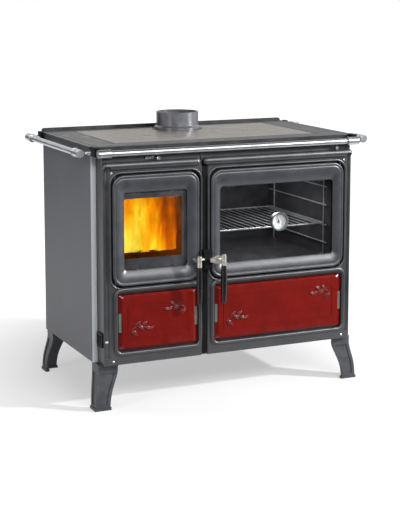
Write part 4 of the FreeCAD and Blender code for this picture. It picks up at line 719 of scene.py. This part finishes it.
def seenDirectly(tree):
    # 1 for camera, glossy and transmission rays, which see white, and 0 for light on surfaces
    path = addNode(tree, "ShaderNodeLightPath")
    seen = addNode(tree, "ShaderNodeMath", {"operation": "MAXIMUM"},
                   {0: path.outputs["Is Camera Ray"], 1: path.outputs["Is Glossy Ray"]})
    return addNode(tree, "ShaderNodeMath", {"operation": "MAXIMUM"},
                   {0: seen, 1: path.outputs["Is Transmission Ray"]})


def makeFloor():
    # pale paper that glows to white with distance; its weaker glow near the stove is painted shade
    # round it, over the lamps' shadow
    material, tree, shader, place = startMaterial("paleStudioFloor")
    tone = addNode(tree, "ShaderNodeTexNoise", lumps(studio["floorMm"]), {"Vector": place})
    tone = addNode(tree, "ShaderNodeMapRange", stretch(*wideSpan), {"Value": tone})
    base = addNode(tree, "ShaderNodeMix", tones(*studio["floorTones"]), {0: tone}).outputs[2]
    linkUp(tree, shader, {"Base Color": base})
    shader.inputs["Roughness"].default_value = studio["floorRoughness"]
    shader.inputs["Specular IOR Level"].default_value = studio["floorSpecular"]
    far = addNode(tree, "ShaderNodeVectorMath", {"operation": "LENGTH"}, {0: place})
    # painted shade: the glow is weaker near the stove, so the floor round it is darker
    near = addNode(tree, "ShaderNodeMapRange",
                   stretch(studio["glowFrom"], studio["glowTo"], *studio["floorGlow"]),
                   {"Value": far.outputs["Value"]})
    strength = addNode(tree, "ShaderNodeMath", {"operation": "MULTIPLY"},
                       {0: seenDirectly(tree), 1: near})
    glow = addNode(tree, "ShaderNodeEmission", {"Color": (1, 1, 1, 1)}, {"Strength": strength})
    both = addNode(tree, "ShaderNodeAddShader", {}, {0: shader, 1: glow})
    linkUp(tree, tree.nodes["Material Output"], {"Surface": both})
    half = studio["floorHalf"]
    corners = ((-half, -half, 0), (half, -half, 0), (half, half, 0), (-half, half, 0))
    floor = flatSheet("floor", corners, material)


def lightRoom():
    # a dim white world, white where it is seen, and area lamps turned from their -Z to the target
    world = bpy.data.worlds.new("studio")
    bpy.context.scene.world = world
    world.use_nodes = True
    tree = world.node_tree
    strength = addNode(tree, "ShaderNodeMapRange", stretch(0.0, 1.0, studio["world"], 1.0),
                       {"Value": seenDirectly(tree)})
    background = tree.nodes["Background"]
    background.inputs["Color"].default_value = (1, 1, 1, 1)
    linkUp(tree, background, {"Strength": strength})
    for name, place, target, size, power in studio["lamps"]:
        light = bpy.data.lights.new(name, "AREA")
        light.shape = "RECTANGLE"
        light.size, light.size_y = size
        light.energy = power
        lamp = bpy.data.objects.new(name, light)
        bpy.context.collection.objects.link(lamp)
        lamp.location = place
        away = np.array(target) - np.array(place)
        lamp.rotation_euler = (math.atan2(math.hypot(away[0], away[1]), -away[2]), 0,
                               math.atan2(-away[0], away[1]))


def hangCards():
    # black card: a matt, slightly uneven dark grey
    material, tree, shader, place = startMaterial("darkCard")
    tone = addNode(tree, "ShaderNodeTexNoise", lumps(studio["cardMm"]), {"Vector": place})
    tone = addNode(tree, "ShaderNodeMapRange", stretch(*wideSpan), {"Value": tone})
    base = addNode(tree, "ShaderNodeMix", tones(*studio["cardTones"]), {0: tone}).outputs[2]
    linkUp(tree, shader, {"Base Color": base})
    shader.inputs["Roughness"].default_value = studio["cardRoughness"]
    for corners in studio["cards"]:
        card = flatSheet("darkCard", corners, material)
        card.visible_camera = False
        card.visible_diffuse = False
        card.visible_shadow = False
        card.visible_transmission = False


# camera solved from the photograph, 400 x 510: metres, degrees, and a focal length in image rows
camera = {"place": (-1.952, -4.3008, 1.372), "azimuth": 24.427, "pitch": 8.098,
          "focalRows": 1376.3, "rows": 510, "sensor": 36.0, "shift": -0.15, "farEnd": 60.0}


def placeCamera():
    data = bpy.data.cameras.new("photoCamera")
    data.sensor_fit = "VERTICAL"
    data.sensor_height = camera["sensor"]
    data.lens = camera["focalRows"] * camera["sensor"] / camera["rows"]
    data.shift_y = camera["shift"]
    data.clip_end = camera["farEnd"]
    eye = bpy.data.objects.new("photoCamera", data)
    bpy.context.collection.objects.link(eye)
    eye.location = camera["place"]
    eye.rotation_euler = (math.radians(90 - camera["pitch"]), 0, -math.radians(camera["azimuth"]))
    bpy.context.scene.camera = eye


makeFloor()
lightRoom()
hangCards()
placeCamera()
bpy.context.scene.view_settings.view_transform = "Standard"
print("studio and camera set")
